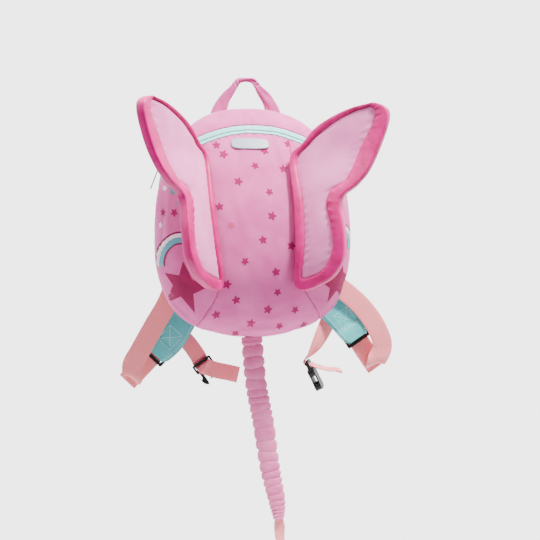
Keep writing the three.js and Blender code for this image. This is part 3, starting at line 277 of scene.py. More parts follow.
@dataclass(frozen=True)
class BagForm:
    """The bag as a disc chart: 0 is the middle of the front, radius 1 the back seam."""

    half_width: float = 117.8
    crown_height: float = 160.6
    base_height: float = 116.8
    front_depth: float = 62.0
    back_depth: float = 58.0
    corner_inset: float = 22.0
    middle_z: float = -197.0
    middle_y: float = -59.8
    crown_power: float = 2.42
    base_power: float = 2.58
    dome_power: float = 2.1
    corner_power: float = 2.2
    rim: float = 0.71
    back_turn: float = math.radians(75)
    crown_lean: float = 32.0
    base_lean: float = 14.0
    crown_flattening: float = 0.3
    base_bulge: float = 0.25

    def outline(self, angle: Array) -> tuple[Array, Array]:
        """Outline seen from the front.

        Args:
            angle: Chart angle in radians.

        Returns:
            x, and height above the widest level.
        """
        c, s = np.cos(angle), np.sin(angle)
        up = s >= 0
        scale = 1 / super_norm(c, s, np.where(up, self.crown_power, self.base_power))
        return self.half_width * c * scale, np.where(up, self.crown_height, self.base_height) * s * scale

    def outline_normal(self, angle: Array) -> tuple[Array, Array]:
        """Outward direction of the outline.

        Args:
            angle: Chart angle in radians.

        Returns:
            x and z parts of the unit normal.
        """
        ax, az = self.outline(angle - 1e-3)
        bx, bz = self.outline(angle + 1e-3)
        size = np.hypot(bx - ax, bz - az)
        return (bz - az) / size, -(bx - ax) / size

    def lean_back(self, z: Array) -> Array:
        """How far the outline's plane lies behind the widest level.

        Args:
            z: Height above the widest level.

        Returns:
            The distance.
        """
        high = self.crown_lean * (np.maximum(z, 0) / self.crown_height) ** 1.7
        return high + self.base_lean * (np.minimum(z, 0) / self.base_height) ** 2

    def fullness(self, z: Array) -> Array:
        """Share of the full front depth at a height.

        Args:
            z: Height above the widest level.

        Returns:
            The share.
        """
        high = 1 - self.crown_flattening * np.maximum(z, 0) / self.crown_height
        return high - self.base_bulge * np.minimum(z, 0) / self.base_height

    def point(self, u: Array, v: Array) -> Array:
        """Smooth surface point.

        Args:
            u: Chart place across.
            v: Chart place up.

        Returns:
            Points with the chart's shape plus a last axis of 3.
        """
        t = np.minimum(np.hypot(u, v), 1)
        angle = np.arctan2(v, u)
        x, z = self.outline(angle)
        turn = np.clip(t / self.rim, 0, 1) * math.pi / 2
        reach = np.sin(turn) ** (2 / self.dome_power)
        rise = np.maximum(np.cos(turn), 0) ** (2 / self.dome_power)
        front_z = z * reach
        front_y = self.lean_back(front_z) - self.front_depth * rise * self.fullness(front_z)
        front = np.stack([x * reach, self.middle_y + front_y, self.middle_z + front_z], axis=-1)
        turn = np.clip((t - self.rim) / (1 - self.rim), 0, 1) * self.back_turn
        inset = self.corner_inset * (1 - np.cos(turn) ** (2 / self.corner_power))
        depth = (self.back_depth - self.lean_back(z)) * np.sin(turn) ** (2 / self.corner_power)
        out_x, out_z = self.outline_normal(angle)
        back = np.stack([x - out_x * inset, self.middle_y + self.lean_back(z) + depth,
                         self.middle_z + z - out_z * inset], axis=-1)
        return np.where((t <= self.rim)[..., None], front, back)

    def normal(self, u: Array, v: Array) -> Array:
        """Outward surface normal.

        Args:
            u: Chart place across.
            v: Chart place up.

        Returns:
            Unit normals.
        """
        step = 2e-3
        size = np.maximum(np.hypot(u, v), 1e-6)
        pull = np.where(size > 1 - 2 * step, (1 - 2 * step) / size, 1)
        a, b = u * pull, v * pull
        across = self.point(a + step, b) - self.point(a - step, b)
        upward = self.point(a, b + step) - self.point(a, b - step)
        return unit(np.cross(across, upward))

    def front_y(self, x: Array, z: Array) -> Array:
        """Depth of the dome in front of a point of the front view.

        Args:
            x: Place across.
            z: Height in the frame.

        Returns:
            The y of the surface.
        """
        dz = z - self.middle_z
        tall = np.where(dz >= 0, self.crown_height, self.base_height)
        power = np.where(dz >= 0, self.crown_power, self.base_power)
        reach = np.minimum(super_norm(x / self.half_width, dz / tall, power), 1)
        rise = (1 - reach ** self.dome_power) ** (1 / self.dome_power)
        return self.middle_y + self.lean_back(dz) - self.front_depth * rise * self.fullness(dz)

    def chart_of(self, x: Array, z: Array) -> tuple[Array, Array]:
        """Chart place of a point of the front view.

        Args:
            x: Place across.
            z: Height in the frame.

        Returns:
            Chart place across and up.
        """
        dz = np.asarray(z, float) - self.middle_z
        across = np.asarray(x, float) / self.half_width
        up = dz / np.where(dz >= 0, self.crown_height, self.base_height)
        reach = super_norm(across, up, np.where(dz >= 0, self.crown_power, self.base_power))
        turn = np.arcsin(np.minimum(reach ** (self.dome_power / 2), 1))
        radius = self.rim * turn / (math.pi / 2)
        angle = np.arctan2(up, across)
        return radius * np.cos(angle), radius * np.sin(angle)


BAG = BagForm()

# Soft dents in the cloth: chart place, spread and depth
DENTS = (
    (-0.20, 0.52, 0.07, 1.6), (0.22, 0.56, 0.06, 1.4), (0.05, -0.30, 0.16, 1.5),
    (-0.26, -0.62, 0.09, 2.0), (0.30, -0.60, 0.09, 2.0), (0.62, -0.30, 0.10, 1.8), (-0.62, -0.32, 0.10, 1.8),
)
# Slack folds: chart place of the middle, heading in degrees, length, width and height
FOLDS = (
    (-0.05, 0.36, 80, 0.10, 0.020, 0.9), (0.11, 0.33, 100, 0.12, 0.018, 0.8), (0.02, -0.52, 8, 0.22, 0.028, 1.5),
    (-0.10, -0.60, -12, 0.14, 0.022, 1.3), (0.18, -0.55, 25, 0.12, 0.022, 1.2), (-0.42, -0.44, -40, 0.13, 0.024, 1.4),
    (0.46, -0.42, 42, 0.13, 0.024, 1.4), (-0.50, 0.05, 82, 0.16, 0.026, 1.0), (0.50, 0.02, 98, 0.16, 0.026, 1.0),
    (-0.60, 0.22, 60, 0.10, 0.022, 1.0), (0.58, 0.24, 120, 0.10, 0.022, 1.0), (0.00, 0.62, 2, 0.20, 0.026, 1.0),
    (-0.30, 0.66, 30, 0.12, 0.022, 0.9), (0.30, 0.68, -28, 0.12, 0.022, 0.9), (0.12, -0.05, 70, 0.12, 0.020, 0.5),
    (-0.08, 0.08, 110, 0.12, 0.020, 0.5), (0.04, -0.72, 4, 0.16, 0.022, 1.2),
)


def bag_relief(u: Array, v: Array) -> Array:
    """Dents, folds and fine slackness of the cloth.

    Args:
        u: Chart place across.
        v: Chart place up.

    Returns:
        Height above the smooth form.
    """
    height = np.zeros_like(u)
    for across, up, spread, depth in DENTS:
        height -= depth * np.exp(-((u - across) ** 2 + (v - up) ** 2) / spread ** 2)
    for across, up, heading, length, width, rise in FOLDS:
        c, s = math.cos(math.radians(heading)), math.sin(math.radians(heading))
        along = (u - across) * c + (v - up) * s
        beside = -(u - across) * s + (v - up) * c + 0.5 * along ** 2
        ridge = np.exp(-(beside / width) ** 2) - 0.6 * np.exp(-((beside - 1.7 * width) / width) ** 2)
        height += rise * ridge * np.exp(-(along / length) ** 2)
    height += 0.22 * np.sin(31 * u + 5 * np.sin(9 * v)) * np.sin(27 * v + 4 * np.sin(11 * u))
    return height


def bag_surface(u: Array, v: Array, lift: float = 0.0) -> Array:
    """Cloth surface with its relief.

    Args:
        u: Chart place across.
        v: Chart place up.
        lift: Extra height along the normal.

    Returns:
        The points.
    """
    return BAG.point(u, v) + BAG.normal(u, v) * (bag_relief(u, v) + lift)[..., None]


# Zip line: chart radius at the top, its fall, where that is reached, and where the zip meets the back seam
BELT_TOP, BELT_DROP, BELT_ANGLE, BELT_POWER, BELT_END = 0.43, 0.28, 61.6, 4, 73.6
TAPE_EDGE, COIL_EDGE = 6.5, 2.2
# Where the zip's pieces end, in degrees from the top: stitches, tapes, coil, the tabs' inner edge and the crown
STITCH_END, TAPE_END, COIL_END, TAB_START, CROWN_END = 70.5, 71.2, 70.4, 70.0, 72.6


def belt_chart(angle: Array) -> tuple[Array, Array]:
    """Chart place of the zip line.

    Args:
        angle: Degrees from the top, positive to the right.

    Returns:
        Chart place across and up.
    """
    radius = np.minimum(BELT_TOP + BELT_DROP * (np.abs(angle) / BELT_ANGLE) ** BELT_POWER, 1)
    turn = np.radians(90 - angle)
    return radius * np.cos(turn), radius * np.sin(turn)


def belt_edge(angle: Array, distance: float) -> tuple[Array, Array]:
    """Chart place beside the zip line.

    Args:
        angle: Degrees from the top, positive to the right.
        distance: Distance above the line on the cloth.

    Returns:
        Chart place across and up.
    """
    u, v = belt_chart(angle)
    along = BAG.point(*belt_chart(angle + 0.1)) - BAG.point(*belt_chart(angle - 0.1))
    wanted = unit(np.cross(BAG.normal(u, v), along)) * distance
    du = -1e-3 * np.where(u == 0, 1, np.sign(u))
    dv = -1e-3 * np.sign(v)
    here = BAG.point(u, v)
    by_u = (BAG.point(u + du, v) - here) / du[..., None]
    by_v = (BAG.point(u, v + dv) - here) / dv[..., None]
    uu, uv, vv = (np.sum(a * b, axis=-1) for a, b in ((by_u, by_u), (by_u, by_v), (by_v, by_v)))
    wu, wv = np.sum(by_u * wanted, axis=-1), np.sum(by_v * wanted, axis=-1)
    det = uu * vv - uv * uv
    return u + (wu * vv - wv * uv) / det, v + (wv * uu - wu * uv) / det


@dataclass(frozen=True)
class Seam:
    """Seam between the front and a side panel.

    Attributes:
        zip_angle: Where it leaves the zip, in degrees.
        corner: Chart angle where it meets the back seam, in degrees.
        rows: Points between, in shares of the half width and of the height above or below the middle.
    """

    zip_angle: float
    corner: float
    rows: tuple[tuple[float, float], ...]

    def charts(self, shares: Array) -> tuple[Array, Array]:
        """Chart places from the bottom corner, share 0, to the zip, share 1.

        Args:
            shares: Places along the seam.

        Returns:
            Chart places across and up.
        """
        points = [(math.cos(math.radians(self.corner)), math.sin(math.radians(self.corner)))]
        for across, up in reversed(self.rows):
            tall = BAG.crown_height if up >= 0 else BAG.base_height
            u, v = BAG.chart_of(np.array(across * BAG.half_width), np.array(BAG.middle_z + up * tall))
            points.append((float(u), float(v)))
        u, v = belt_edge(np.array(self.zip_angle), -TAPE_EDGE)
        points.append((float(u), float(v)))
        found = Curve(points).at(shares)
        return found[:, 0], found[:, 1]


SEAM_LEFT = Seam(-37, -123, ((-0.526, 0.604), (-0.475, 0.293), (-0.441, -0.026),
                             (-0.416, -0.325), (-0.424, -0.53), (-0.518, -0.745)))
SEAM_RIGHT = Seam(25, -51, ((0.348, 0.604), (0.348, 0.293), (0.348, -0.026),
                            (0.348, -0.325), (0.458, -0.522), (0.662, -0.779)))


def coons(bottom: Array, top: Array, left: Array, right: Array) -> Array:
    """Fills a four-sided chart patch from its edges.

    Args:
        bottom: Chart points of the lower edge, left to right.
        top: Chart points of the upper edge, left to right.
        left: Chart points of the left edge, bottom to top.
        right: Chart points of the right edge, bottom to top.

    Returns:
        Grid of chart points, rows from the bottom.
    """
    s = np.linspace(0, 1, len(bottom))[None, :, None]
    t = np.linspace(0, 1, len(left))[:, None, None]
    by_rows = lerp(bottom[None], top[None], t)
    by_columns = lerp(left[:, None], right[:, None], s)
    corners = lerp(lerp(bottom[0], bottom[-1], s), lerp(top[0], top[-1], s), t)
    return by_rows + by_columns - corners


def pair(charts: tuple[Array, Array]) -> Array:
    """Joins chart places across and up into points.

    Args:
        charts: Places across and up.

    Returns:
        Array of 2D points.
    """
    return np.stack(charts, axis=-1)


def rim_arc(first: float, last: float, count: int) -> Array:
    """Chart points along the back seam.

    Args:
        first: First chart angle in degrees.
        last: Last chart angle in degrees.
        count: Number of points.

    Returns:
        The points.
    """
    angle = np.radians(np.linspace(first, last, count))
    return np.stack([np.cos(angle), np.sin(angle)], axis=-1)


@dataclass
class PanelPart:
    """One sewn cloth panel of the bag, with the fullness and puckers beside its seams.

    Attributes:
        charts: Grid of chart points.
        gap: Distance kept from the seam line; not used.
        pillow: How far the cloth dips to the seam.
        pucker: Height of the puckers.
        pitch: Distance between puckers.
    """

    charts: Array
    gap: float = 0.12
    pillow: float = 1.3
    pucker: float = 0.32
    pitch: float = 8.5

    def points(self) -> Array:
        """Grid of cloth points.

        Returns:
            Rows by columns by 3.
        """
        u, v = self.charts[..., 0], self.charts[..., 1]
        base = bag_surface(u, v)
        normals = BAG.normal(u, v)
        across, along = running_length(base, 1), running_length(base, 0)
        sides = np.minimum(across, across[:, -1:] - across)
        ends = np.minimum(along, along[-1:] - along)
        edge = np.minimum(sides, ends)
        run = np.where(sides < ends, along, across)
        wander = run / self.pitch + 0.35 * np.sin(run / 23.0) + 0.2 * np.sin(run / 7.9 + 1)
        puckers = self.pucker * np.sin(2 * math.pi * wander) * np.exp(-((edge - 2.5) / 6.0) ** 2)
        dip = self.pillow * np.exp(-edge / 2.6)
        return base + normals * (puckers - dip)[..., None]


# Prints, stitches and bands


class Ink(Enum):
    """Colours of the printed cloth, as material slots after the cloth itself."""

    PINK = 1
    DARK = 2
    WHITE = 3
    TEAL = 4
    FADED = 5
    DEEP = 6


@dataclass(frozen=True)
class PrintShape:
    """A printed shape on the front of the bag, given in the front view.

    Attributes:
        ink: Its colour.
        rows: Grid of (x, z) points in rows; a wrapped shape runs from its middle outwards.
        wrapped: True for a closed shape round its middle.
    """

    ink: Ink
    rows: Array
    wrapped: bool = False


def star(x: float, z: float, radius: float, turn: float, ink: Ink, stretch: float = 1.0) -> PrintShape:
    """Five-pointed star with soft tips.

    Args:
        x: Middle across.
        z: Middle height.
        radius: Distance to the tips.
        turn: Rotation in degrees.
        ink: Its colour.
        stretch: Share of the width that is kept, where the cloth turns away.

    Returns:
        The shape.
    """
    steps = np.arange(41) / 40
    phase = (steps * 5) % 1
    reach = radius * (0.47 + 0.53 * np.abs(2 * phase - 1) ** 1.25)
    angle = 2 * math.pi * steps + math.radians(turn)
    outline = np.stack([np.sin(angle) * reach * stretch, np.cos(angle) * reach], axis=-1)
    shares = np.array([0.01, 0.35, 0.7, 1.0])[:, None, None]
    return PrintShape(ink, np.array([x, z]) + outline[None] * shares, wrapped=True)


def polygon_shape(corners: Sequence[tuple[float, float]], ink: Ink) -> PrintShape:
    """Filled shape through corners with straight sides.

    Args:
        corners: Corners in order.
        ink: Its colour.

    Returns:
        The shape.
    """
    ring = np.array([*corners, corners[0]], float)
    steps = np.linspace(0, len(ring) - 1, 8 * (len(ring) - 1) + 1)
    outline = np.stack([np.interp(steps, range(len(ring)), ring[:, k]) for k in (0, 1)], axis=-1)
    middle = ring[:-1].mean(axis=0)
    shares = np.linspace(0.02, 1, 7)[:, None, None]
    return PrintShape(ink, middle + (outline - middle)[None] * shares, wrapped=True)


def arc_shape(points: Sequence[tuple[float, float]], width: float, ink: Ink) -> PrintShape:
    """Printed line of even width.

    Args:
        points: Points of its middle in the front view.
        width: Its width.
        ink: Its colour.

    Returns:
        The shape.
    """
    line = Curve([(x, z, 0) for x, z in points]).at(np.linspace(0, 1, 28))[:, :2]
    run = unit(np.gradient(line, axis=0))
    side = np.stack([-run[:, 1], run[:, 0]], axis=-1)
    return PrintShape(ink, np.stack([line + side * width * share for share in (-0.5, 0, 0.5)]))


def add_print(bm: bmesh.types.BMesh, shape: PrintShape, cloth: BVHTree) -> None:
    """Lays a printed shape on the cloth.

    Args:
        bm: Mesh of the panel.
        shape: The shape.
        cloth: Search tree of the panel's outer surface.
    """
    points = np.zeros((*shape.rows.shape[:2], 3))
    for place in np.ndindex(shape.rows.shape[:2]):
        x, z = shape.rows[place]
        hit = cloth.ray_cast(Vector((x, -300, z)) * MM, Vector((0, 1, 0)), 0.29)
        if hit[0] is None:
            hit = cloth.find_nearest(Vector((x, -70, z)) * MM)
            points[place] = np.array(hit[0]) / MM + np.array([0, 0.4, 0])
            continue
        outward = np.array(hit[1]) * (-1 if hit[1].y > 0 else 1)
        points[place] = np.array(hit[0]) / MM + outward * 0.3
    add_patch(bm, Patch(points, wrapped=shape.wrapped, slot=shape.ink.value))


def add_stitches(bm: bmesh.types.BMesh, path: Array, normals: Array, pitch: float = 3.4) -> None:
    """Row of raised stitches.

    Args:
        bm: Mesh to add to.
        path: Points along the row.
        normals: Surface normal at each point.
        pitch: Distance from stitch to stitch.
    """
    length = np.concatenate([[0], np.cumsum(np.linalg.norm(np.diff(path, axis=0), axis=1))])
    count = int(length[-1] / pitch)
    places = (np.arange(count) + 0.5) * pitch
    centre = np.stack([np.interp(places, length, path[:, k]) for k in range(3)], axis=-1)
    ahead = np.stack([np.interp(places + 0.5, length, path[:, k]) for k in range(3)], axis=-1)
    up = np.stack([np.interp(places, length, normals[:, k]) for k in range(3)], axis=-1)
    for middle, front, normal in zip(centre, ahead, up):
        run = Vector(front - middle)
        if run.length < 1e-6:
            continue
        run.normalize()
        side = Vector(normal).cross(run).normalized()
        top = run.cross(side).normalized()
        made = bmesh.ops.create_cube(bm, size=1.0)["verts"]
        for vertex in made:
            x, y, z = vertex.co
            slim = 0.45 if z > 0 else 1.0
            offset = run * x * 2.3 * (0.8 if z > 0 else 1.0) + side * y * 0.75 * slim + top * z * 0.5
            vertex.co = (Vector(middle) + offset) * MM


def stitch_object(name: str, rows: Sequence[tuple[Array, Array]], body: str,
                  material: bpy.types.Material) -> bpy.types.Object:
    """Object of one or more rows of stitches.

    Args:
        name: Object name.
        rows: Path and normals of each row.
        body: Body that carries it.
        material: Thread material.

    Returns:
        The object.
    """
    bm = new_mesh()
    for path, normals in rows:
        add_stitches(bm, path, normals)
    made = finished_object(name, bm, [material])
    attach(made, body)
    return made


def section_ring(count: int, power: float) -> Array:
    """Rounded section of width and thickness 1.

    Args:
        count: Number of points; the first is repeated at the end.
        power: 2 for an ellipse, more for a flatter band.

    Returns:
        Points as shares of the width and the thickness.
    """
    angle = np.linspace(0, 2 * math.pi, count + 1)
    c, s = np.cos(angle), np.sin(angle)
    scale = 0.5 / super_norm(c, s, power)
    return np.stack([c * scale, s * scale], axis=-1)


@dataclass
class Band:
    """A strap swept along points, with its own width direction.

    Attributes:
        points: Points of the middle line.
        across: Width direction at each point.
        widths: Width at each point.
        thicknesses: Thickness at each point.
        power: Squareness of the section.
    """

    points: list = field(default_factory=list)
    across: list = field(default_factory=list)
    widths: list = field(default_factory=list)
    thicknesses: list = field(default_factory=list)
    power: float = 5.0

    def add(self, point: Array, across: Array, width: float, thickness: float) -> None:
        """Adds a row, turning its width direction to agree with the row before.

        Args:
            point: Middle of the strap.
            across: Width direction.
            width: Width.
            thickness: Thickness.
        """
        across = np.array(across, float)
        if self.across and np.dot(across, self.across[-1]) < 0:
            across = -across
        self.points.append(np.array(point, float))
        self.across.append(across)
        self.widths.append(width)
        self.thicknesses.append(thickness)

    def frames(self, shares: Array) -> tuple[Array, Array, Array, Array, Array]:
        """Places along the strap.

        Args:
            shares: Shares from 0 to 1.

        Returns:
            Centres, width directions, face directions, widths and thicknesses.
        """
        curve = Curve(self.points)
        centre = curve.at(shares)
        run = unit(curve.at(np.minimum(shares + 1e-3, 1)) - curve.at(np.maximum(shares - 1e-3, 0)))
        places = np.asarray(shares) * (len(self.points) - 1)
        rows = np.arange(len(self.points))
        across = np.stack([np.interp(places, rows, np.array(self.across)[:, k]) for k in range(3)], axis=-1)
        across = unit(across - run * np.sum(across * run, axis=-1, keepdims=True))
        face = unit(np.cross(run, across))
        return centre, across, face, np.interp(places, rows, self.widths), np.interp(places, rows, self.thicknesses)

    def tube(self, samples: int, sides: int, relief: Optional[Callable[[Array, Array], Array]] = None) -> Patch:
        """Closed tube of the strap.

        Args:
            samples: Steps along the strap.
            sides: Steps round its section.
            relief: Extra height for (length run, section angle) grids.

        Returns:
            The patch.
        """
        shares = np.linspace(0, 1, samples + 1)
        centre, across, face, width, thick = self.frames(shares)
        ring = section_ring(sides, self.power)
        w = ring[None, :, 0:1] * width[:, None, None]
        n = ring[None, :, 1:2] * thick[:, None, None]
        points = centre[:, None] + across[:, None] * w + face[:, None] * n
        if relief is not None:
            run = np.concatenate([[0], np.cumsum(np.linalg.norm(np.diff(centre, axis=0), axis=1))])
            angle = np.linspace(0, 2 * math.pi, sides + 1)
            rise = relief(run[:, None] + 0 * angle[None], angle[None] + 0 * run[:, None])
            outward = unit(across[:, None] * ring[None, :, 0:1] * 0.4 + face[:, None] * ring[None, :, 1:2])
            points = points + outward * rise[..., None]
        points[:, -1] = points[:, 0]
        return Patch(points, wrapped=True, capped=True)

    def edge_rows(self, inset: float, first: float, last: float, side: float = 1.0) -> list[tuple[Array, Array]]:
        """Paths along both edges on one face, for stitches.

        Args:
            inset: Distance in from the edges.
            first: Share where they start.
            last: Share where they end.
            side: 1 for one face, -1 for the other.

        Returns:
            Path and normals of each row.
        """
        shares = np.linspace(first, last, 60)
        centre, across, face, width, thick = self.frames(shares)
        out = face * side
        lift = out * (thick * 0.47)[:, None]
        return [(centre + across * (sign * (width / 2 - inset))[:, None] + lift, out) for sign in (-1, 1)]


# Wings


@dataclass(frozen=True)
class WingSize:
    """Size of a wing and the lines of its rim and its inset.

    Attributes:
        span: Reach from the root.
        height: Height from tip to bottom.
        thickness: Padding thickness.
        outline: Rows of outer reach, outer drop, inset reach and inset drop, in shares.
    """

    span: float = 122.6
    height: float = 216.2
    thickness: float = 12.0
    outline: tuple[tuple[float, float, float, float], ...] = (
        (0.000, 0.277, 0.085, 0.290), (0.126, 0.208, 0.165, 0.238), (0.262, 0.125, 0.285, 0.175),
        (0.457, 0.061, 0.470, 0.101), (0.647, 0.021, 0.645, 0.050), (0.791, 0.005, 0.760, 0.030),
        (0.878, 0.000, 0.825, 0.025), (0.992, 0.038, 0.868, 0.049), (1.000, 0.080, 0.848, 0.100),
        (0.921, 0.209, 0.735, 0.212), (0.774, 0.360, 0.640, 0.318), (0.636, 0.443, 0.530, 0.411),
        (0.479, 0.512, 0.350, 0.484), (0.465, 0.559, 0.322, 0.550), (0.484, 0.662, 0.353, 0.661),
        (0.487, 0.787, 0.369, 0.763), (0.465, 0.841, 0.320, 0.848), (0.387, 0.919, 0.240, 0.903),
        (0.249, 0.973, 0.150, 0.925), (0.053, 1.000, 0.082, 0.934), (0.000, 0.973, 0.080, 0.915),
        (0.000, 0.760, 0.108, 0.760), (0.000, 0.530, 0.113, 0.540),
    )


@dataclass(frozen=True)
class WingPlace:
    """Where a wing is sewn on and how far it opens.

    Attributes:
        side: -1 for the left, 1 for the right.
        top_x: Distance of the root's top from the middle.
        base_x: Distance of the root's bottom from the middle.
        open_angle: Degrees that the wing turns forward.
        border: Share of the border that shows at the root and along the upper edge.
    """

    side: int
    top_x: float
    base_x: float
    open_angle: float
    border: float = 0.8


WING_PLACES = {"left": WingPlace(-1, 62.8, 48.2, 49, 0.5), "right": WingPlace(1, 40.5, 40.8, 33)}


class Wing:
    """One padded wing: a satin rim round a pale inset, and a satin back."""

    TIP_Z = -40.6
    ROOT_TOP = -100.4
    LEAN = 0.15
    BEND = 14.0

    def __init__(self, size: WingSize, place: WingPlace) -> None:
        """Keeps the sizes and finds how far the wing stands off the bag.

        Args:
            size: Shape of the wing.
            place: Where it is sewn on.
        """
        self.size, self.where = size, place
        rows = np.array(size.outline)
        thin = np.r_[0:7, 20:len(rows)]
        rows[thin, 2:] = lerp(rows[thin, :2], rows[thin, 2:], place.border)
        zeros = np.zeros(len(rows))
        self.outer = Curve(np.stack([rows[:, 0], rows[:, 1], zeros], axis=-1), closed=True)
        self.inset = Curve(np.stack([rows[:, 2], rows[:, 3], zeros], axis=-1), closed=True)
        turn = math.radians(place.open_angle)
        self.across = np.array([place.side * math.cos(turn), -math.sin(turn), 0])
        self.face = np.array([-place.side * math.sin(turn), -math.cos(turn), 0])
        self.stand_off = 0.0
        worst = -1e9
        for inward, height in ((0.5, -0.5), (0.14, -0.4), (0, -0.16), (0, 0.14), (0.16, 0.4)):
            ring = self.ring(inward, 40)
            found = self.point(ring[:, 0], ring[:, 1], np.full(40, height * size.thickness))
            worst = max(worst, float(np.max(found[:, 1] - BAG.front_y(found[:, 0], found[:, 2]))))
        self.stand_off = worst + 0.39

    def ring(self, inward: float, count: int) -> Array:
        """Ring between the outer edge and the inset's edge.

        Args:
            inward: 0 at the outer edge, 1 at the inset's edge.
            count: Number of points.

        Returns:
            Reach and drop of each point.
        """
        shares = np.arange(count) / count
        return lerp(self.outer.at(shares), self.inset.at(shares), inward)[:, :2]

    def point(self, reach: Array, drop: Array, out: Array) -> Array:
        """Place of a wing point in the frame.

        Args:
            reach: Share of the span.
            drop: Share of the height.
            out: Height above the wing's middle sheet, towards the front.

        Returns:
            The points.
        """
        z = self.TIP_Z - self.size.height * drop
        base = self.TIP_Z - self.size.height * 0.973
        below, above = self.ROOT_TOP - z, z - self.ROOT_TOP
        held = np.maximum(self.ROOT_TOP - (below + np.sqrt(below ** 2 + self.BEND ** 2)) / 2, base)
        share = (self.ROOT_TOP - held) / (self.ROOT_TOP - base)
        x = self.where.side * lerp(self.where.top_x, self.where.base_x, share)
        y = BAG.front_y(x, held) + self.LEAN * (above + np.sqrt(above ** 2 + self.BEND ** 2)) / 2 - self.stand_off
        root = np.stack([x, y, z], axis=-1)
        return root + (reach * self.size.span)[..., None] * self.across + np.asarray(out)[..., None] * self.face

    def sheet(self, inward: float, height: Callable[[Array, Array], Array], rows: int = 110,
              columns: int = 36) -> Array:
        """Grid over the wing inside one ring.

        Args:
            inward: Ring that bounds it.
            height: Height above the middle sheet for (distance to the edge, distance from the top).
            rows: Steps down.
            columns: Steps across.

        Returns:
            Grid of points.
        """
        ring = self.ring(inward, 400)
        top, bottom = int(np.argmin(ring[:, 1])), int(np.argmax(ring[:, 1]))
        down = ring[(top + np.arange((bottom - top) % 400 + 1)) % 400]
        other = ring[(top - np.arange((top - bottom) % 400 + 1)) % 400]
        level = (1 - np.cos(np.linspace(0.004, 1, rows) * math.pi * 0.998)) / 2
        level = lerp(ring[top, 1], ring[bottom, 1], level)
        flanks = [np.interp(level, np.maximum.accumulate(side[:, 1]), side[:, 0]) for side in (down, other)]
        share = np.linspace(0, 1, columns)[None]
        reach = lerp(flanks[0][:, None], flanks[1][:, None], share)
        drop = level[:, None] + 0 * share
        width = np.abs(flanks[1] - flanks[0])[:, None] * self.size.span
        sideways = np.minimum(share, 1 - share) * width
        ends = np.minimum(drop - ring[top, 1], ring[bottom, 1] - drop) * self.size.height
        edge = 1 / np.sqrt(1 / np.maximum(sideways, 0.01) ** 2 + 1 / np.maximum(ends * 1.3, 0.01) ** 2)
        return self.point(reach, drop, height(edge, drop * self.size.height + reach * 37))

    def rim(self, count: int = 260) -> Array:
        """Satin rim from the back, round the outer edge to the inset's seam.

        Args:
            count: Steps round the wing.

        Returns:
            Grid of points, one row for each line of the section.
        """
        section = [(0.47, -0.5), (0.30, -0.5), (0.16, -0.49), (0.07, -0.465), (0.03, -0.43), (0.012, -0.38),
                   (0.0, -0.30), (-0.01, -0.15), (-0.012, 0.0), (-0.01, 0.15), (0.0, 0.26), (0.008, 0.31),
                   (0.03, 0.325), (0.012, 0.345), (0.016, 0.40), (0.045, 0.455), (0.10, 0.485), (0.20, 0.5),
                   (0.38, 0.505), (0.56, 0.495), (0.72, 0.465), (0.84, 0.41), (0.92, 0.34), (0.965, 0.27),
                   (0.995, 0.19)]
        steps = np.arange(count) / count
        edge = self.outer.at(steps)[:, :2] * np.array([self.size.span, self.size.height])
        run = np.concatenate([[0], np.cumsum(np.linalg.norm(np.diff(edge, axis=0), axis=1))])
        notch = np.exp(-((steps - 0.575) / 0.05) ** 2) + 0.6 * np.exp(-((steps - 0.32) / 0.05) ** 2)
        pucker = np.sin(2 * math.pi * (run / 8.3 + 0.4 * np.sin(run / 29))) * (0.35 + 0.9 * notch)
        pucker += 0.3 * np.sin(2 * math.pi * run / 4.1 + 2 * np.sin(run / 17))
        rows = []
        for inward, height in section:
            ring = self.ring(inward, count)
            near_seam = math.exp(-((inward - 0.86) / 0.2) ** 2) if height > 0.18 else 0.0
            near_edge = math.exp(-((height + 0.05) / 0.24) ** 2) * (1 - near_seam)
            out = height * self.size.thickness + 0.6 * pucker * near_seam + 0.3 * pucker * near_edge
            rows.append(self.point(ring[:, 0], ring[:, 1], out))
        grid = np.stack(rows)
        return np.concatenate([grid, grid[:, :1]], axis=1)

    def build(self, hand: str, satin: bpy.types.Material, pale: bpy.types.Material) -> None:
        """Makes the two cloth pieces of the wing.

        Args:
            hand: left or right.
            satin: Material of the rim and the back.
            pale: Material of the inset.
        """
        thickness = self.size.thickness

        def back(edge: Array, run: Array) -> Array:
            """Height of the back sheet.

            Args:
                edge: Distance from the sheet's edge.
                run: Distance along it.

            Returns:
                The heights.
            """
            puff = 1.6 * (1 - np.exp(-edge / 9)) + 0.25 * np.sin(run / 6.5 + np.sin(run / 17)) * np.exp(-edge / 14)
            return -0.485 * thickness - puff

        def front(edge: Array, run: Array) -> Array:
            """Height of the inset sheet.

            Args:
                edge: Distance from the sheet's edge.
                run: Distance along it.

            Returns:
                The heights.
            """
            puff = 2.3 * (1 - np.exp(-edge / 7))
            puckers = 0.35 * np.sin(run / 1.45 + 1.5 * np.sin(run / 13)) * np.exp(-((edge - 2) / 5) ** 2)
            slack = 0.4 * np.sin(run / 19 + 0.5) * (1 - np.exp(-edge / 12))
            return 0.2 * thickness + puff + puckers + slack

        bm = new_mesh()
        add_patch(bm, Patch(self.rim(), wrapped=True))
        add_patch(bm, Patch(self.sheet(0.47, back)))
        pad = finished_object(f"wing_pad_{hand}_cloth", bm, [satin])
        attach(pad, "bag")
        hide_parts(f"wing_pad_{hand}")
        bm = new_mesh()
        add_patch(bm, Patch(self.sheet(0.985, front)))
        inset = finished_object(f"wing_inset_{hand}_cloth", bm, [pale])
        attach(inset, "bag")
        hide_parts(f"wing_inset_{hand}")


# The bag: panels, zip and handle


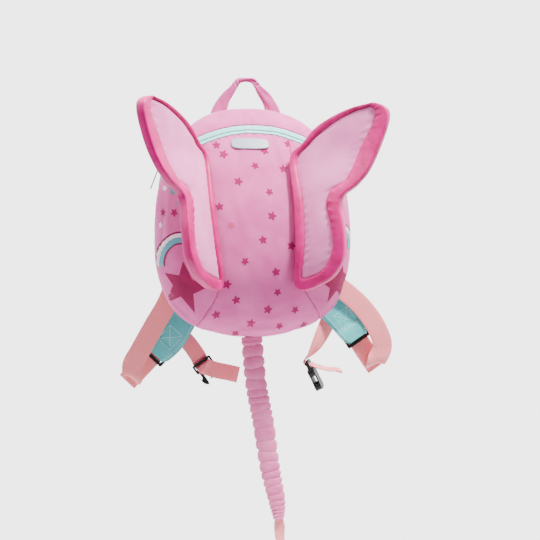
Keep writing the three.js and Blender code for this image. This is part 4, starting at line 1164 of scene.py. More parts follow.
def side_charts(seam: Seam, rows: int = 84, columns: int = 64) -> Array:
    """Chart grid of a side panel, seam first.

    Args:
        seam: Its seam with the front panel.
        rows: Steps up.
        columns: Steps across.

    Returns:
        Grid of chart points.
    """
    sign = math.copysign(1, seam.zip_angle)
    angles = np.linspace(seam.zip_angle, sign * (BELT_END - 0.5), columns)
    top = pair(belt_edge(angles, -TAPE_EDGE))
    inner = pair(seam.charts(np.linspace(0.0, 1, rows)))
    high = math.degrees(math.atan2(top[-1, 1], top[-1, 0]))
    if high > seam.corner + 180:
        high -= 360
    outer = rim_arc(seam.corner + sign * 0.6, high, rows)
    outer[-1] = top[-1]
    share = np.linspace(0, 1, columns)[:, None]
    inner[0] = inner[0] * 0.995
    bottom = lerp(inner[0][None], outer[0][None], share)
    grid = coons(bottom, top, inner, outer)
    return grid if sign > 0 else grid[:, ::-1]


def front_charts(rows: int = 96, columns: int = 80) -> Array:
    """Chart grid of the front panel.

    Args:
        rows: Steps up.
        columns: Steps across.

    Returns:
        Grid of chart points.
    """
    shares = np.linspace(0, 1, rows)
    angles = np.linspace(SEAM_LEFT.zip_angle, SEAM_RIGHT.zip_angle, columns)
    top = pair(belt_edge(angles, -TAPE_EDGE))
    left, right = pair(SEAM_LEFT.charts(shares)), pair(SEAM_RIGHT.charts(shares))
    return coons(rim_arc(SEAM_LEFT.corner, SEAM_RIGHT.corner, columns), top, left, right)


def crown_charts(rows: int = 48, columns: int = 120) -> Array:
    """Chart grid of the crown.

    Args:
        rows: Steps up.
        columns: Steps across.

    Returns:
        Grid of chart points.
    """
    angles = np.linspace(-71.0, 71.0, columns)
    bottom = pair(belt_edge(angles, TAPE_EDGE + 0.2))
    ends = [math.degrees(math.atan2(p[1], p[0])) for p in (pair(belt_edge(np.array(a), TAPE_EDGE + 0.6))
                                                          for a in (-CROWN_END, CROWN_END))]
    top = rim_arc(ends[0], ends[1], columns)
    share = np.linspace(0, 1, rows)[:, None]
    left = lerp(bottom[0][None], top[0][None], share)
    right = lerp(bottom[-1][None], top[-1][None], share)
    return coons(bottom, top, left, right)


FRONT_STARS = (
    (-46.7, -86.2), (-39.4, -97.6), (-3.2, -111.4), (30.1, -114.6), (-24.3, -130.7), (11.4, -142.7),
    (-47.3, -160.3), (12.8, -171.0), (-34.5, -182.1), (1.4, -198.9), (35.0, -205.7), (-19.4, -223.5),
    (16.9, -235.7), (-39.5, -250.0), (19.7, -259.3), (-28.2, -268.2), (10.1, -279.5), (42.9, -280.1),
    (-49.5, -285.5), (-7.8, -295.7), (27.3, -299.5), (9.8, -92.8), (39.6, -83.3), (-23.5, -309.0), (58.6, -299.2),
)
PALE_STAR = 8


def front_prints() -> list[PrintShape]:
    """Stars of the front panel.

    Returns:
        The shapes.
    """
    made = []
    for index, (x, z) in enumerate(FRONT_STARS):
        ink = Ink.FADED if index == PALE_STAR else Ink.PINK
        made.append(star(x, z, 5.3 + 0.5 * math.sin(index * 2.1), 23 * index % 72, ink))
    return made


def rainbow(middle: tuple[float, float], radii: Sequence[float], squeeze: float, turn: float) -> list[PrintShape]:
    """Printed rainbow of four arcs.

    Args:
        middle: Middle of the arcs in the front view.
        radii: Radius of each arc from the outside in.
        squeeze: Share of the width that is kept, where the cloth turns away.
        turn: Rotation in degrees.

    Returns:
        The shapes.
    """
    made = []
    angles = np.radians(np.linspace(-8, 188, 18) + turn)
    for radius, (width, ink) in zip(radii, ((2.2, Ink.DARK), (4.4, Ink.WHITE), (6.6, Ink.TEAL), (1.8, Ink.DARK))):
        line = [(middle[0] + math.cos(a) * radius * squeeze, middle[1] + math.sin(a) * radius) for a in angles]
        made.append(arc_shape(line, width, ink))
    return made


def left_prints() -> list[PrintShape]:
    """Print of the left side panel.

    Returns:
        The shapes.
    """
    made = [
        polygon_shape([(-88.9, -223.4), (-92.8, -240.0), (-108.2, -236.6), (-99.0, -251.0), (-105.7, -272.9),
                       (-90.0, -264.0), (-73.2, -283.8), (-76.8, -261.0), (-62.9, -254.1), (-78.6, -244.0)],
                      Ink.DEEP),
    ]
    made += rainbow((-92.0, -226.0), (36.0, 32.7, 27.2, 23.0), 0.74, 0)
    made += [star(-98.7, -141.8, 5.2, 20, Ink.TEAL, 0.8), star(-91.1, -155.9, 4.6, 50, Ink.TEAL, 0.8),
             star(-84.5, -174.7, 4.8, 10, Ink.TEAL, 0.8), star(-107.0, -137.6, 4.2, 30, Ink.WHITE, 0.7),
             star(-112.5, -181.3, 4.6, 12, Ink.WHITE, 0.5), star(-84.4, -190.0, 4.0, 40, Ink.WHITE, 0.8),
             star(-109.7, -166.0, 5.0, 8, Ink.PINK, 0.6), star(-97.9, -166.9, 5.2, 33, Ink.PINK, 0.8),
             star(-72.0, -208.0, 4.6, 15, Ink.PINK), star(-66.0, -232.0, 4.2, 40, Ink.WHITE),
             star(-76.0, -120.0, 4.8, 25, Ink.PINK), star(-88.0, -112.0, 4.4, 5, Ink.WHITE, 0.9)]
    return made


def right_prints() -> list[PrintShape]:
    """Print of the right side panel.

    Returns:
        The shapes.
    """
    made = rainbow((100.0, -205.0), (27.0, 23.6, 18.0, 13.8), 0.72, 0)
    made += [
        polygon_shape([(100.0, -217.9), (103.6, -236.0), (113.6, -240.0), (105.8, -250.0), (106.2, -266.0),
                       (95.4, -257.6), (83.6, -272.2), (85.4, -255.0), (75.7, -249.0), (88.4, -240.0)], Ink.DEEP),
        star(68.0, -120.0, 4.8, 12, Ink.TEAL), star(86.0, -134.0, 4.8, 40, Ink.PINK, 0.9),
        star(60.0, -146.0, 4.6, 22, Ink.PINK), star(98.0, -150.0, 4.6, 8, Ink.WHITE, 0.8),
        star(72.0, -168.0, 4.6, 30, Ink.WHITE), star(60.0, -196.0, 4.6, 15, Ink.TEAL),
        star(66.0, -224.0, 4.8, 50, Ink.PINK),
    ]
    return made


class Bag:
    """The cloth bag with its zip and its handle."""

    def __init__(self, shades: "Shades") -> None:
        """Keeps the materials.

        Args:
            shades: All materials.
        """
        self.shades = shades

    def panel(self, node: str, charts: Array, prints: Sequence[PrintShape] = ()) -> None:
        """Makes one printed panel.

        Args:
            node: Solid that it stands for.
            charts: Its chart grid.
            prints: Shapes printed on it.
        """
        points = PanelPart(charts).points()
        skin = new_mesh()
        add_patch(skin, Patch(points))
        cloth = BVHTree.FromBMesh(skin)
        skin.free()
        bm = new_mesh()
        add_patch(bm, Patch(points, thickness=1.5))
        for shape in prints:
            add_print(bm, shape, cloth)
        made = finished_object(f"{node}_cloth", bm, self.shades.printed)
        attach(made, "bag")
        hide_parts(node)

    def back(self) -> None:
        """Makes the padded back panel with its quilted lines."""
        angle = np.linspace(0, 2 * math.pi, 193)
        share = np.linspace(0.01, 1, 40)[:, None]
        rim = BAG.point(np.cos(angle), np.sin(angle))
        out_x, out_z = BAG.outline_normal(angle)
        rim[:, 0] -= out_x * 0.6
        rim[:, 2] -= out_z * 0.6
        x = rim[None, :, 0] * share
        z = lerp(BAG.middle_z, rim[None, :, 2], share)
        y = lerp(rim[None, :, 1], BAG.middle_y + BAG.back_depth, 1 - share ** 3)
        groove = np.exp(-(((np.abs(x) + 0.18 * (z + 197)) % 46 - 23) / 1.6) ** 2) * (1 - share ** 8)
        y = y - 0.5 * groove - 0.6 * np.exp(-(1 - share) * 60)
        y = y - 0.15 * (1 + np.sin(x / 13) * np.sin(z / 17)) * (1 - share ** 6)
        points = np.stack([x, y, z], axis=-1)
        points[:, -1] = points[:, 0]
        bm = new_mesh()
        add_patch(bm, Patch(points[:, ::-1], wrapped=True, capped=False, thickness=1.5))
        made = finished_object("back_panel_cloth", bm, self.shades.printed)
        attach(made, "bag")
        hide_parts("back_panel")

    def tape(self, node: str, low: float, high: float) -> None:
        """Makes one zip tape.

        Args:
            node: Solid that it stands for.
            low: Lower edge beside the zip line.
            high: Upper edge beside the zip line.
        """
        angles = np.linspace(-TAPE_END, TAPE_END, 300)
        rows = []
        for across, lift in ((low, -1.3), (low, -0.3), *((lerp(low, high, k), 0) for k in (0.06, 0.35, 0.65, 0.94)),
                             (high, -0.3), (high, -1.3)):
            u, v = belt_edge(angles, across)
            ripple = 0.12 * np.sin(np.arange(300) * 0.55) - 0.25 + lift
            rows.append(BAG.point(u, v) + BAG.normal(u, v) * (bag_relief(u, v) + ripple)[:, None])
        bm = new_mesh()
        add_patch(bm, Patch(np.stack(rows)))
        made = finished_object(f"{node}_cloth", bm, [self.shades.zip_tape])
        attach(made, "bag")
        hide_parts(node)

    def coil(self) -> None:
        """Makes the zip's coil with its teeth."""
        count = 1500
        angles = np.linspace(-COIL_END, COIL_END, count)
        u, v = belt_chart(angles)
        base = BAG.point(u, v)
        run = np.concatenate([[0], np.cumsum(np.linalg.norm(np.diff(base, axis=0), axis=1))])
        even = np.interp(np.linspace(0, run[-1], count), run, angles)
        teeth = np.sin(np.linspace(0, run[-1], count) / 1.55 * 2 * math.pi)
        rows = []
        for across, lift, depth in ((-2.1, -1.4, 0), (-2.1, 0.0, 0.0), (-1.5, 0.62, 0.16), (-0.55, 0.66, 0.2),
                                    (0.0, 0.42, 0.1), (0.55, 0.66, -0.2), (1.5, 0.62, -0.16), (2.1, 0.0, 0.0),
                                    (2.1, -1.4, 0)):
            u, v = belt_edge(even, across)
            height = bag_relief(u, v) + lift + depth * teeth
            rows.append(BAG.point(u, v) + BAG.normal(u, v) * height[:, None])
        bm = new_mesh()
        add_patch(bm, Patch(np.stack(rows)))
        made = finished_object("zip_coil_teeth", bm, [self.shades.zip_coil])
        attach(made, "bag")
        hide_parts("zip_coil")

    def handle(self) -> None:
        """Makes the rolled grab handle with its lengthwise folds."""
        # x, y, z, width, thickness and lean
        rows = ((35.5, -0.6, -60.8, 20, 3.0, 0), (35.0, -0.3, -42.4, 20, 3.0, 2), (27.5, 0, -22.57, 14.5, 4.4, 26),
                (17.0, 0, -8.74, 10.0, 6.2, 38), (9.0, 0, 1.8, 7.0, 7.5, 58), (3.5, 0, 3.0, 6.0, 8.0, 88))
        band = Band(power=2.8)
        for x, y, z, width, thick, lean in rows:
            turn = math.radians(180 - lean)
            band.add((-x, y, z), (math.cos(turn), 0, math.sin(turn)), width, thick)
        for x, y, z, width, thick, lean in reversed(rows):
            turn = math.radians(lean)
            band.add((x, y, z), (math.cos(turn), 0, math.sin(turn)), width, thick)

        def folds(run: Array, angle: Array) -> Array:
            """Lengthwise folds that gather towards the bar.

            Args:
                run: Distance along the handle.
                angle: Angle round its section.

            Returns:
                The heights.
            """
            middle = np.exp(-((run - run.max() / 2) / (run.max() * 0.33)) ** 2)
            lines = -0.9 * np.exp(-((np.sin(angle - 1.2 + run / 60)) / 0.2) ** 2)
            lines += 0.45 * np.sin(4 * angle + run / 9) + 0.3 * np.sin(run / 3.4 + 2 * angle)
            shoulder = np.exp(-((np.abs(run - run.max() / 2) - 15) / 5) ** 2)
            lines -= 0.9 * shoulder * np.sin(run / 1.7 + angle) ** 2
            return lines * (0.4 + 0.6 * middle) - 0.1

        bm = new_mesh()
        add_patch(bm, band.tube(200, 40, folds))
        made = finished_object("grab_handle_cloth", bm, self.shades.printed)
        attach(made, "bag")
        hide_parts("grab_handle")
        stitch_object("grab_handle_stitches", band.edge_rows(2.2, 0.0, 0.16) + band.edge_rows(2.2, 0.84, 1.0),
                      "bag", self.shades.thread_pink)

    def zip_ends(self) -> None:
        """Makes the cloth tabs over the two ends of the zip."""
        across = np.linspace(-TAPE_EDGE - 1.6, TAPE_EDGE + 1.6, 14)
        share = np.linspace(0, 1, 12)[:, None]
        edge = np.maximum(np.abs(np.linspace(-1, 1, 14))[None] ** 8, (1 - share) ** 10)
        bm = new_mesh()
        for sign in (-1, 1):
            inner = np.array([pair(belt_edge(np.array(sign * TAB_START), c)) for c in across])
            ends = np.array([pair(belt_edge(np.array(sign * a), c))
                             for a, c in ((BELT_END - 0.5, across[0]), (CROWN_END, across[-1]))])
            polar = np.linspace(*np.unwrap(np.arctan2(ends[:, 1], ends[:, 0])), 14)
            outer = np.stack([np.cos(polar), np.sin(polar)], axis=-1) * 0.999
            grid = lerp(inner[None], outer[None], share[..., None])
            u, v = grid[..., 0], grid[..., 1]
            points = BAG.point(u, v) + BAG.normal(u, v) * (bag_relief(u, v) + 0.5 - 0.9 * edge)[..., None]
            add_patch(bm, Patch(points[:, ::-sign], thickness=1.2))
        made = finished_object("zip_end_tabs", bm, self.shades.printed)
        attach(made, "bag")

    def zip_stitches(self) -> None:
        """Makes the rows of stitches beside the zip."""
        angles = np.linspace(-STITCH_END, STITCH_END, 400)
        rows = []
        for across, lift in ((TAPE_EDGE + 2.2, -0.35), (-TAPE_EDGE - 2.2, -0.35)):
            u, v = belt_edge(angles, across)
            normals = BAG.normal(u, v)
            rows.append((BAG.point(u, v) + normals * (bag_relief(u, v) + lift)[:, None], normals))
        stitch_object("zip_stitches", rows, "bag", self.shades.thread_pink)

    def build(self) -> None:
        """Makes all cloth pieces of the bag."""
        self.panel("front_panel", front_charts(), front_prints())
        self.panel("side_panel_left", side_charts(SEAM_LEFT), left_prints())
        self.panel("side_panel_right", side_charts(SEAM_RIGHT), right_prints())
        self.panel("crown_panel", crown_charts())
        self.back()
        self.tape("zip_tape_lower", -TAPE_EDGE + 0.15, -COIL_EDGE - 0.2)
        self.tape("zip_tape_upper", COIL_EDGE + 0.2, TAPE_EDGE - 0.15)
        self.coil()
        self.zip_ends()
        self.zip_stitches()
        self.handle()


# Straps


def lean_vector(lean: float, twist: float = 0.0) -> Array:
    """Width direction of a strap.

    Args:
        lean: Degrees up from the x axis, in the plane of the back.
        twist: Degrees turned out of that plane.

    Returns:
        The direction.
    """
    a, t = math.radians(lean), math.radians(twist)
    return np.array([math.cos(a) * math.cos(t), math.sin(t), math.sin(a) * math.cos(t)])


@dataclass(frozen=True)
class StrapRoute:
    """Route of one shoulder strap.

    Attributes:
        end: Middle of the adjuster.
        slope: Direction of the strap there, in degrees.
        pad: Rows of x, y, z and lean down the pad.
        webbing: Rows of x, y, z and lean of the webbing's front run.
    """

    end: tuple[float, float, float]
    slope: float
    pad: tuple[tuple[float, float, float, float], ...]
    webbing: tuple[tuple[float, float, float, float], ...]


ROUTES = {
    "left": StrapRoute(
        (-110, 6, -333), 226,
        ((-30, 2.6, -66, 0), (-32.4, 12, -86, 0), (-34.5, 24, -112, 0), (-38, 32, -150, -2),
         (-47, 32, -200, -8), (-61, 21, -250, -22), (-82, 11, -295, -38)),
        ((-88, 1.2, -247, -22), (-97, 1.5, -272, -26), (-115, -1, -303, -30),
         (-132, -4, -333, -33), (-141, -4, -350, -38)),
    ),
    "right": StrapRoute(
        (140, 6, -314), -56,
        ((30, 2.6, -66, 0), (32.4, 12, -86, 0), (36, 24, -112, 0), (43, 32, -150, 4),
         (59, 32, -200, 18), (86, 19, -245, 34), (115, 10, -281, 36)),
        ((90, 1.2, -238, 40), (118, 1.5, -254, 42), (148, -1, -280, 36), (167, -4, -308, 22), (173.5, -4, -330, 18)),
    ),
}


class ShoulderStrap:
    """Padded strap with its webbing through the adjuster."""

    PAD_WIDTH, PAD_END, PAD_THICK = 42.0, 27.0, 8.0
    WEB_WIDTH, WEB_THICK, LOCK_HALF, FOLDED = 25.0, 1.4, 12.0, 1.9
    # Out, back, width and thickness of the tab over the adjuster
    TAB = ((-15, -1.6, 40, 3.6), (-12.2, -3.4, 39.5, 2.6), (-8, -5.2, 39, 2.4),
           (-2, -6.3, 37, 2.4), (3, -6.5, 33, 2.4), (6, -6.5, 27, 2.2))
    BOX_HALF, BOX_NEAR, BOX_FAR = 10.5, -34, -11
    # Out and back of the webbing through the adjuster
    WEAVE = ((26, 3.0), (10, 3.1), (7.3, 2.7), (5.2, 0.3), (3.7, -2.5), (0, -3.1), (-3.7, -2.5), (-5.2, 0.2),
             (-5.2, 3.4), (-2.6, 6.2), (4, 6.9), (14, 7.0), (26, 7.0))

    def __init__(self, hand: str, route: StrapRoute, shades: "Shades") -> None:
        """Keeps the route.

        Args:
            hand: left or right.
            route: Its route.
            shades: All materials.
        """
        self.hand, self.route, self.shades = hand, route, shades
        slope = math.radians(route.slope)
        self.along = np.array([math.cos(slope), 0, math.sin(slope)])
        self.across = unit(np.cross([0, 1, 0], self.along))

    def at(self, out: float, back: float) -> Array:
        """Place by the adjuster.

        Args:
            out: Distance along the strap from the adjuster's middle.
            back: Distance towards the wearer.

        Returns:
            The point.
        """
        return np.array(self.route.end) + self.along * out + np.array([0, back, 0])

    def pad_band(self) -> Band:
        """Band of the padded part.

        Returns:
            The band.
        """
        band = Band(power=3.2)
        for index, (x, y, z, lean) in enumerate(self.route.pad):
            width = self.PAD_END if index == 0 else self.PAD_WIDTH
            band.add((x, y, z), lean_vector(lean), width, self.PAD_THICK)
        middle = self.PAD_WIDTH * 0.97
        band.add(self.at(-self.LOCK_HALF - 9, 0), self.across, middle, self.PAD_THICK * 0.8)
        for out, back, width, thick in self.TAB:
            band.add(self.at(out, back), self.across, width, thick)
        return band

    def web_band(self) -> Band:
        """Band of the webbing from under the bag, through the adjuster, to its hem.

        Returns:
            The band.
        """
        band = Band(power=7)
        for x, y, z, lean in self.route.webbing:
            band.add((x, y, z), lean_vector(lean), self.WEB_WIDTH, self.WEB_THICK)
        lock = self.across if np.dot(self.across, band.across[-1]) > 0 else -self.across
        turn = unit(band.across[-1] + lock)
        band.add(self.at(43.5, -9), turn, self.WEB_WIDTH, self.WEB_THICK)
        band.add(self.at(45.5, -4), turn, self.WEB_WIDTH, self.WEB_THICK)
        band.add(self.at(41, 2.0), lock, self.WEB_WIDTH, self.WEB_THICK)
        for out, back in self.WEAVE:
            band.add(self.at(out, back), lock, self.WEB_WIDTH, self.WEB_THICK)
        band.add(self.at(40, 6.6), lock, self.WEB_WIDTH, self.WEB_THICK)
        band.add(self.at(41, 6.4), lock, self.WEB_WIDTH, self.WEB_THICK * self.FOLDED)
        band.add(self.at(53, 5.4), lock, self.WEB_WIDTH, self.WEB_THICK * self.FOLDED)
        return band

    def build(self) -> None:
        """Makes the pad, its stitches and the webbing."""

        def padding(run: Array, angle: Array) -> Array:
            """Edge binding, cross creases and softness of the pad.

            Args:
                run: Distance along the pad.
                angle: Angle round its section.

            Returns:
                The heights.
            """
            flat = np.abs(np.cos(angle))
            binding = -0.55 * np.exp(-((flat - 0.86) / 0.035) ** 2)
            end = 1 - np.exp(-((run - run.max()) / 26) ** 2)
            creases = 0.5 * np.exp(-((np.sin(run / 21 + 0.5 * np.cos(angle))) / 0.3) ** 2) * np.sin(angle) ** 2
            fine = 0.22 * np.sin(run / 2.6 + 2 * np.sin(run / 19)) * np.exp(-((flat - 0.9) / 0.12) ** 2)
            return binding - creases * end + fine - 0.1

        pad = self.pad_band()
        bm = new_mesh()
        add_patch(bm, pad.tube(260, 48, padding))
        cloth = BVHTree.FromBMesh(bm)
        made = finished_object(f"shoulder_pad_{self.hand}_cloth", bm, [self.shades.teal])
        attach(made, "bag")
        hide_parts(f"shoulder_pad_{self.hand}")
        rows = pad.edge_rows(4.2, 0.03, 0.97) + pad.edge_rows(4.2, 0.03, 0.97, -1)
        rows += self.box_cross(cloth)
        stitch_object(f"shoulder_pad_{self.hand}_stitches", rows, "bag", self.shades.thread_teal)
        web = self.web_band()
        bm = new_mesh()
        add_patch(bm, web.tube(320, 24))
        made = finished_object(f"shoulder_webbing_{self.hand}_cloth", bm, [self.shades.webbing])
        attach(made, "bag")
        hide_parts(f"shoulder_webbing_{self.hand}")

    def box_cross(self, cloth: BVHTree) -> list[tuple[Array, Array]]:
        """Square of stitches with a cross, on the front of the pad's end.

        Args:
            cloth: Search tree of the pad.

        Returns:
            Path and normals of each row.
        """
        rows = []
        near, far = self.BOX_NEAR, self.BOX_FAR
        corners = ((-1, near), (1, near), (1, far), (-1, far), (-1, near), (1, far), (1, near), (-1, far))
        for (a, s), (b, t) in zip(corners, corners[1:]):
            path, normals = [], []
            for step in np.linspace(0, 1, 16):
                place = self.at(lerp(s, t, step), 0) + self.across * lerp(a, b, step) * self.BOX_HALF
                hit = cloth.ray_cast(Vector((place[0], -40, place[2])) * MM, Vector((0, 1, 0)), 0.09)
                if hit[0] is not None:
                    outward = np.array(hit[1]) * (-1 if hit[1].y > 0 else 1)
                    path.append(np.array(hit[0]) / MM + outward * 0.2)
                    normals.append(outward)
            if len(path) > 2:
                rows.append((np.array(path), np.array(normals)))
        return rows


@dataclass(frozen=True)
class ChestRoute:
    """Route of one chest strap.

    Attributes:
        up: Face of the buckle half from which it enters the slot.
        buckle: x, y, z, slope and twist of the buckle half.
        route: Rows of x, y, z, lean and twist to the buckle.
        tail: The same rows of the free end.
    """

    up: int
    buckle: tuple[float, float, float, float, float]
    route: tuple[tuple[float, float, float, float, float], ...]
    tail: tuple[tuple[float, float, float, float, float], ...]


CHEST_ROUTES = {
    "left": ChestRoute(
        -1, (-53.7, 4, -350, -54, 0),
        ((-92, 16.4, -298, 44, 0), (-80, 15.2, -313, 44, 0), (-66, 10, -330, 40, 0), (-58, 6.4, -343, 36, 0)),
        ((-46, -1.0, -354.5, 50, 0), (-36, -2, -357.5, 58, 6), (-24, -1.5, -360, 62, 8), (-10, -1, -363.5, 62, 4)),
    ),
    "right": ChestRoute(
        -1, (80.5, 4, -352, -64, -72),
        ((112, 16.2, -286, -25, 0), (104, 14, -305, -25, 8), (92, 9, -326, -15, 34), (82, 6, -339, 0, 58)),
        ((94, 4.6, -355.2, 40, 74), (104, 4.5, -358.2, 70, 78),
         (113, 4.5, -358.6, 86, 80), (122, 4.5, -360.5, 86, 80)),
    ),
}


class ChestStrap:
    """Narrow webbing from under the pad, through its buckle half, to a hemmed end."""

    WIDTH, THICK, HEM, FOLDED = 20.0, 1.3, 9.0, 1.9
    WRAP = ((-6.5, 3.5), (-3.6, 3.4), (-1.3, 2.6), (0, 0), (1.2, -2.7), (3.0, -5.0))

    def __init__(self, hand: str, route: ChestRoute, shades: "Shades") -> None:
        """Keeps the route.

        Args:
            hand: left or right.
            route: Its route.
            shades: All materials.
        """
        self.hand, self.route, self.shades = hand, route, shades

    def build(self) -> None:
        """Makes the webbing."""
        x, y, z, slope, twist = self.route.buckle
        a, t = math.radians(slope), math.radians(twist)
        along = np.array([math.cos(a), 0, math.sin(a)])
        flat = unit(np.cross([0, 1, 0], along))
        across = flat * math.cos(t) + np.array([0, math.sin(t), 0])
        face = unit(np.cross(across, along))
        band = Band(power=7)
        for px, py, pz, lean, turn in self.route.route:
            band.add((px, py, pz), lean_vector(lean, turn), self.WIDTH, self.THICK)
        for out, height in self.WRAP:
            place = np.array([x, y, z]) + along * out + face * height * self.route.up
            band.add(place, across, self.WIDTH, self.THICK)
        for px, py, pz, lean, turn in self.route.tail[:-1]:
            band.add((px, py, pz), lean_vector(lean, turn), self.WIDTH, self.THICK)
        end, before = np.array(self.route.tail[-1][:3]), np.array(self.route.tail[-2][:3])
        way = unit(end - before)
        last = lean_vector(*self.route.tail[-1][3:])
        band.add(end - way * (self.HEM - 0.4), last, self.WIDTH, self.THICK)
        band.add(end - way * (self.HEM - 1.2), last, self.WIDTH, self.THICK * self.FOLDED)
        band.add(end, last, self.WIDTH, self.THICK * self.FOLDED)
        bm = new_mesh()
        add_patch(bm, band.tube(220, 24))
        made = finished_object(f"chest_webbing_{self.hand}_cloth", bm, [self.shades.webbing])
        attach(made, "bag")
        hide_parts(f"chest_webbing_{self.hand}")


class Rein:
    """Gathered sleeve under the bag, then webbing that ends in a hand loop."""

    LENGTH, WIDTH, END_WIDTH, THICK = 222.0, 25.5, 12.5, 11.0
    WEB_WIDTH, WEB_THICK, LOOP_LENGTH, LOOP_WIDTH, NECK = 13.5, 1.6, 110.0, 46.0, 26.0
    GATHERS, FLUSH, DRAWN_IN = 23, 0.02, 0.985
    FACED, TURNED = 14.0, 44.0
    ROUTE = ((0, 0), (0.26, 5.5), (0.46, 13.9), (0.72, 22.6), (0.91, 31.5), (1.0, 33.4))

    def __init__(self, shades: "Shades") -> None:
        """Finds the route.

        Args:
            shades: All materials.
        """
        self.shades = shades
        start = BAG.point(np.array(0.0), np.array(-BAG.rim))
        self.curve = Curve([(start[0] + x, start[1], start[2] - drop * self.LENGTH) for drop, x in self.ROUTE])

    def sleeve(self) -> None:
        """Makes the sleeve with its uneven ruffles."""
        count, sides = 620, 40
        shares = np.linspace(0.0, 1, count)
        centre = self.curve.at(shares)
        run = unit(np.gradient(centre, axis=0))
        across = unit(np.array([1.0, 0, 0]) - run * run[:, :1])
        deep = unit(np.cross(run, across))
        narrow = np.maximum(0, (shares - 0.35) / 0.65) ** 2.2
        width = lerp(self.WIDTH, self.END_WIDTH, narrow)
        ring = section_ring(sides, 2.5)
        angle = np.linspace(0, 2 * math.pi, sides + 1)[None]
        # Each unit of phase is one gather; it wanders round the sleeve and down it
        place = shares[:, None] * self.GATHERS
        phase = place + 0.1 * np.sin(angle + place * 0.9) + 0.06 * np.sin(2 * angle + place * 2.3)
        phase = phase + 0.16 * np.sin(place * 0.83) + 0.05 * np.sin(place * 2.1)
        ruffle = np.abs(np.sin(math.pi * phase)) ** 0.5
        depth = 0.24 + 0.05 * np.sin(place * 1.7 + 2 * angle) + 0.03 * np.sin(place * 0.6)
        fine = 0.014 * np.sin(2 * math.pi * phase * 2.6 + 7 * angle) * ruffle
        scale = 1.05 - depth * (1 - ruffle) + fine
        # The last rows draw in round the webbing, and the first lie flush under the bag
        scale = scale * np.where(shares[:, None] > self.DRAWN_IN, 0.86, 1)
        scale = np.where(shares[:, None] < self.FLUSH, 1.0, scale)
        points = centre[:, None] + (across[:, None] * ring[None, :, :1] * width[:, None, None]
                                    + deep[:, None] * ring[None, :, 1:] * self.THICK) * scale[..., None]
        sway = 0.7 * np.sin(2 * math.pi * phase + 1.3) * np.cos(angle)
        points = points + run[:, None] * (sway * np.sin(shares[:, None] * math.pi) ** 0.3)[..., None]
        points[:, -1] = points[:, 0]
        bm = new_mesh()
        add_patch(bm, Patch(points, wrapped=True, capped=True))
        made = finished_object("rein_sleeve_cloth", bm, [self.shades.rein])
        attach(made, "bag")
        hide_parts("rein_sleeve")

    def webbing(self) -> None:
        """Makes the webbing, which leaves the sleeve facing the front and turns above its hand loop."""
        end = self.curve.at(np.array([0.999, 1.0]))
        run = unit(end[1] - end[0])
        side = unit(np.array([1.0, 0, 0]) - run * run[0])
        half, neck, length = self.LOOP_WIDTH / 2, self.NECK, self.LOOP_LENGTH
        route = ((0.4, 0, 0.8), (8, 0, 1), (neck, 0, 1), (neck + length * 0.3, half * 0.8, 1),
                 (neck + length * 0.65, half, 1), (neck + length * 0.93, half * 0.62, 1), (neck + length, 0, 1),
                 (neck + length * 0.93, -half * 0.62, 1), (neck + length * 0.65, -half, 1),
                 (neck + length * 0.3, -half * 0.8, 1), (neck + 3, -3, 1))
        band = Band(power=6)
        for down, out, share in route:
            turn = math.pi / 2 * min(max((down - self.FACED) / (self.TURNED - self.FACED), 0), 1)
            across = (math.cos(turn), math.sin(turn), 0)
            band.add(end[1] + run * down + side * out, across, self.WEB_WIDTH * share, self.WEB_THICK)
        bm = new_mesh()
        add_patch(bm, band.tube(300, 20))
        made = finished_object("rein_webbing_cloth", bm, [self.shades.webbing])
        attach(made, "bag")
        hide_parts("rein_webbing")


# Materials


class Socket:
    """Output of a shader node, with arithmetic."""

    def __init__(self, graph: "Graph", output: bpy.types.NodeSocket) -> None:
        """Keeps the output.

        Args:
            graph: Graph that it belongs to.
            output: The output.
        """
        self.graph, self.output = graph, output

    def __add__(self, other: "Socket | float") -> "Socket":
        """Sum."""
        return self.graph.maths("ADD", self, other)

    def __mul__(self, other: "Socket | float") -> "Socket":
        """Product."""
        return self.graph.maths("MULTIPLY", self, other)

    __radd__ = __add__
    __rmul__ = __mul__


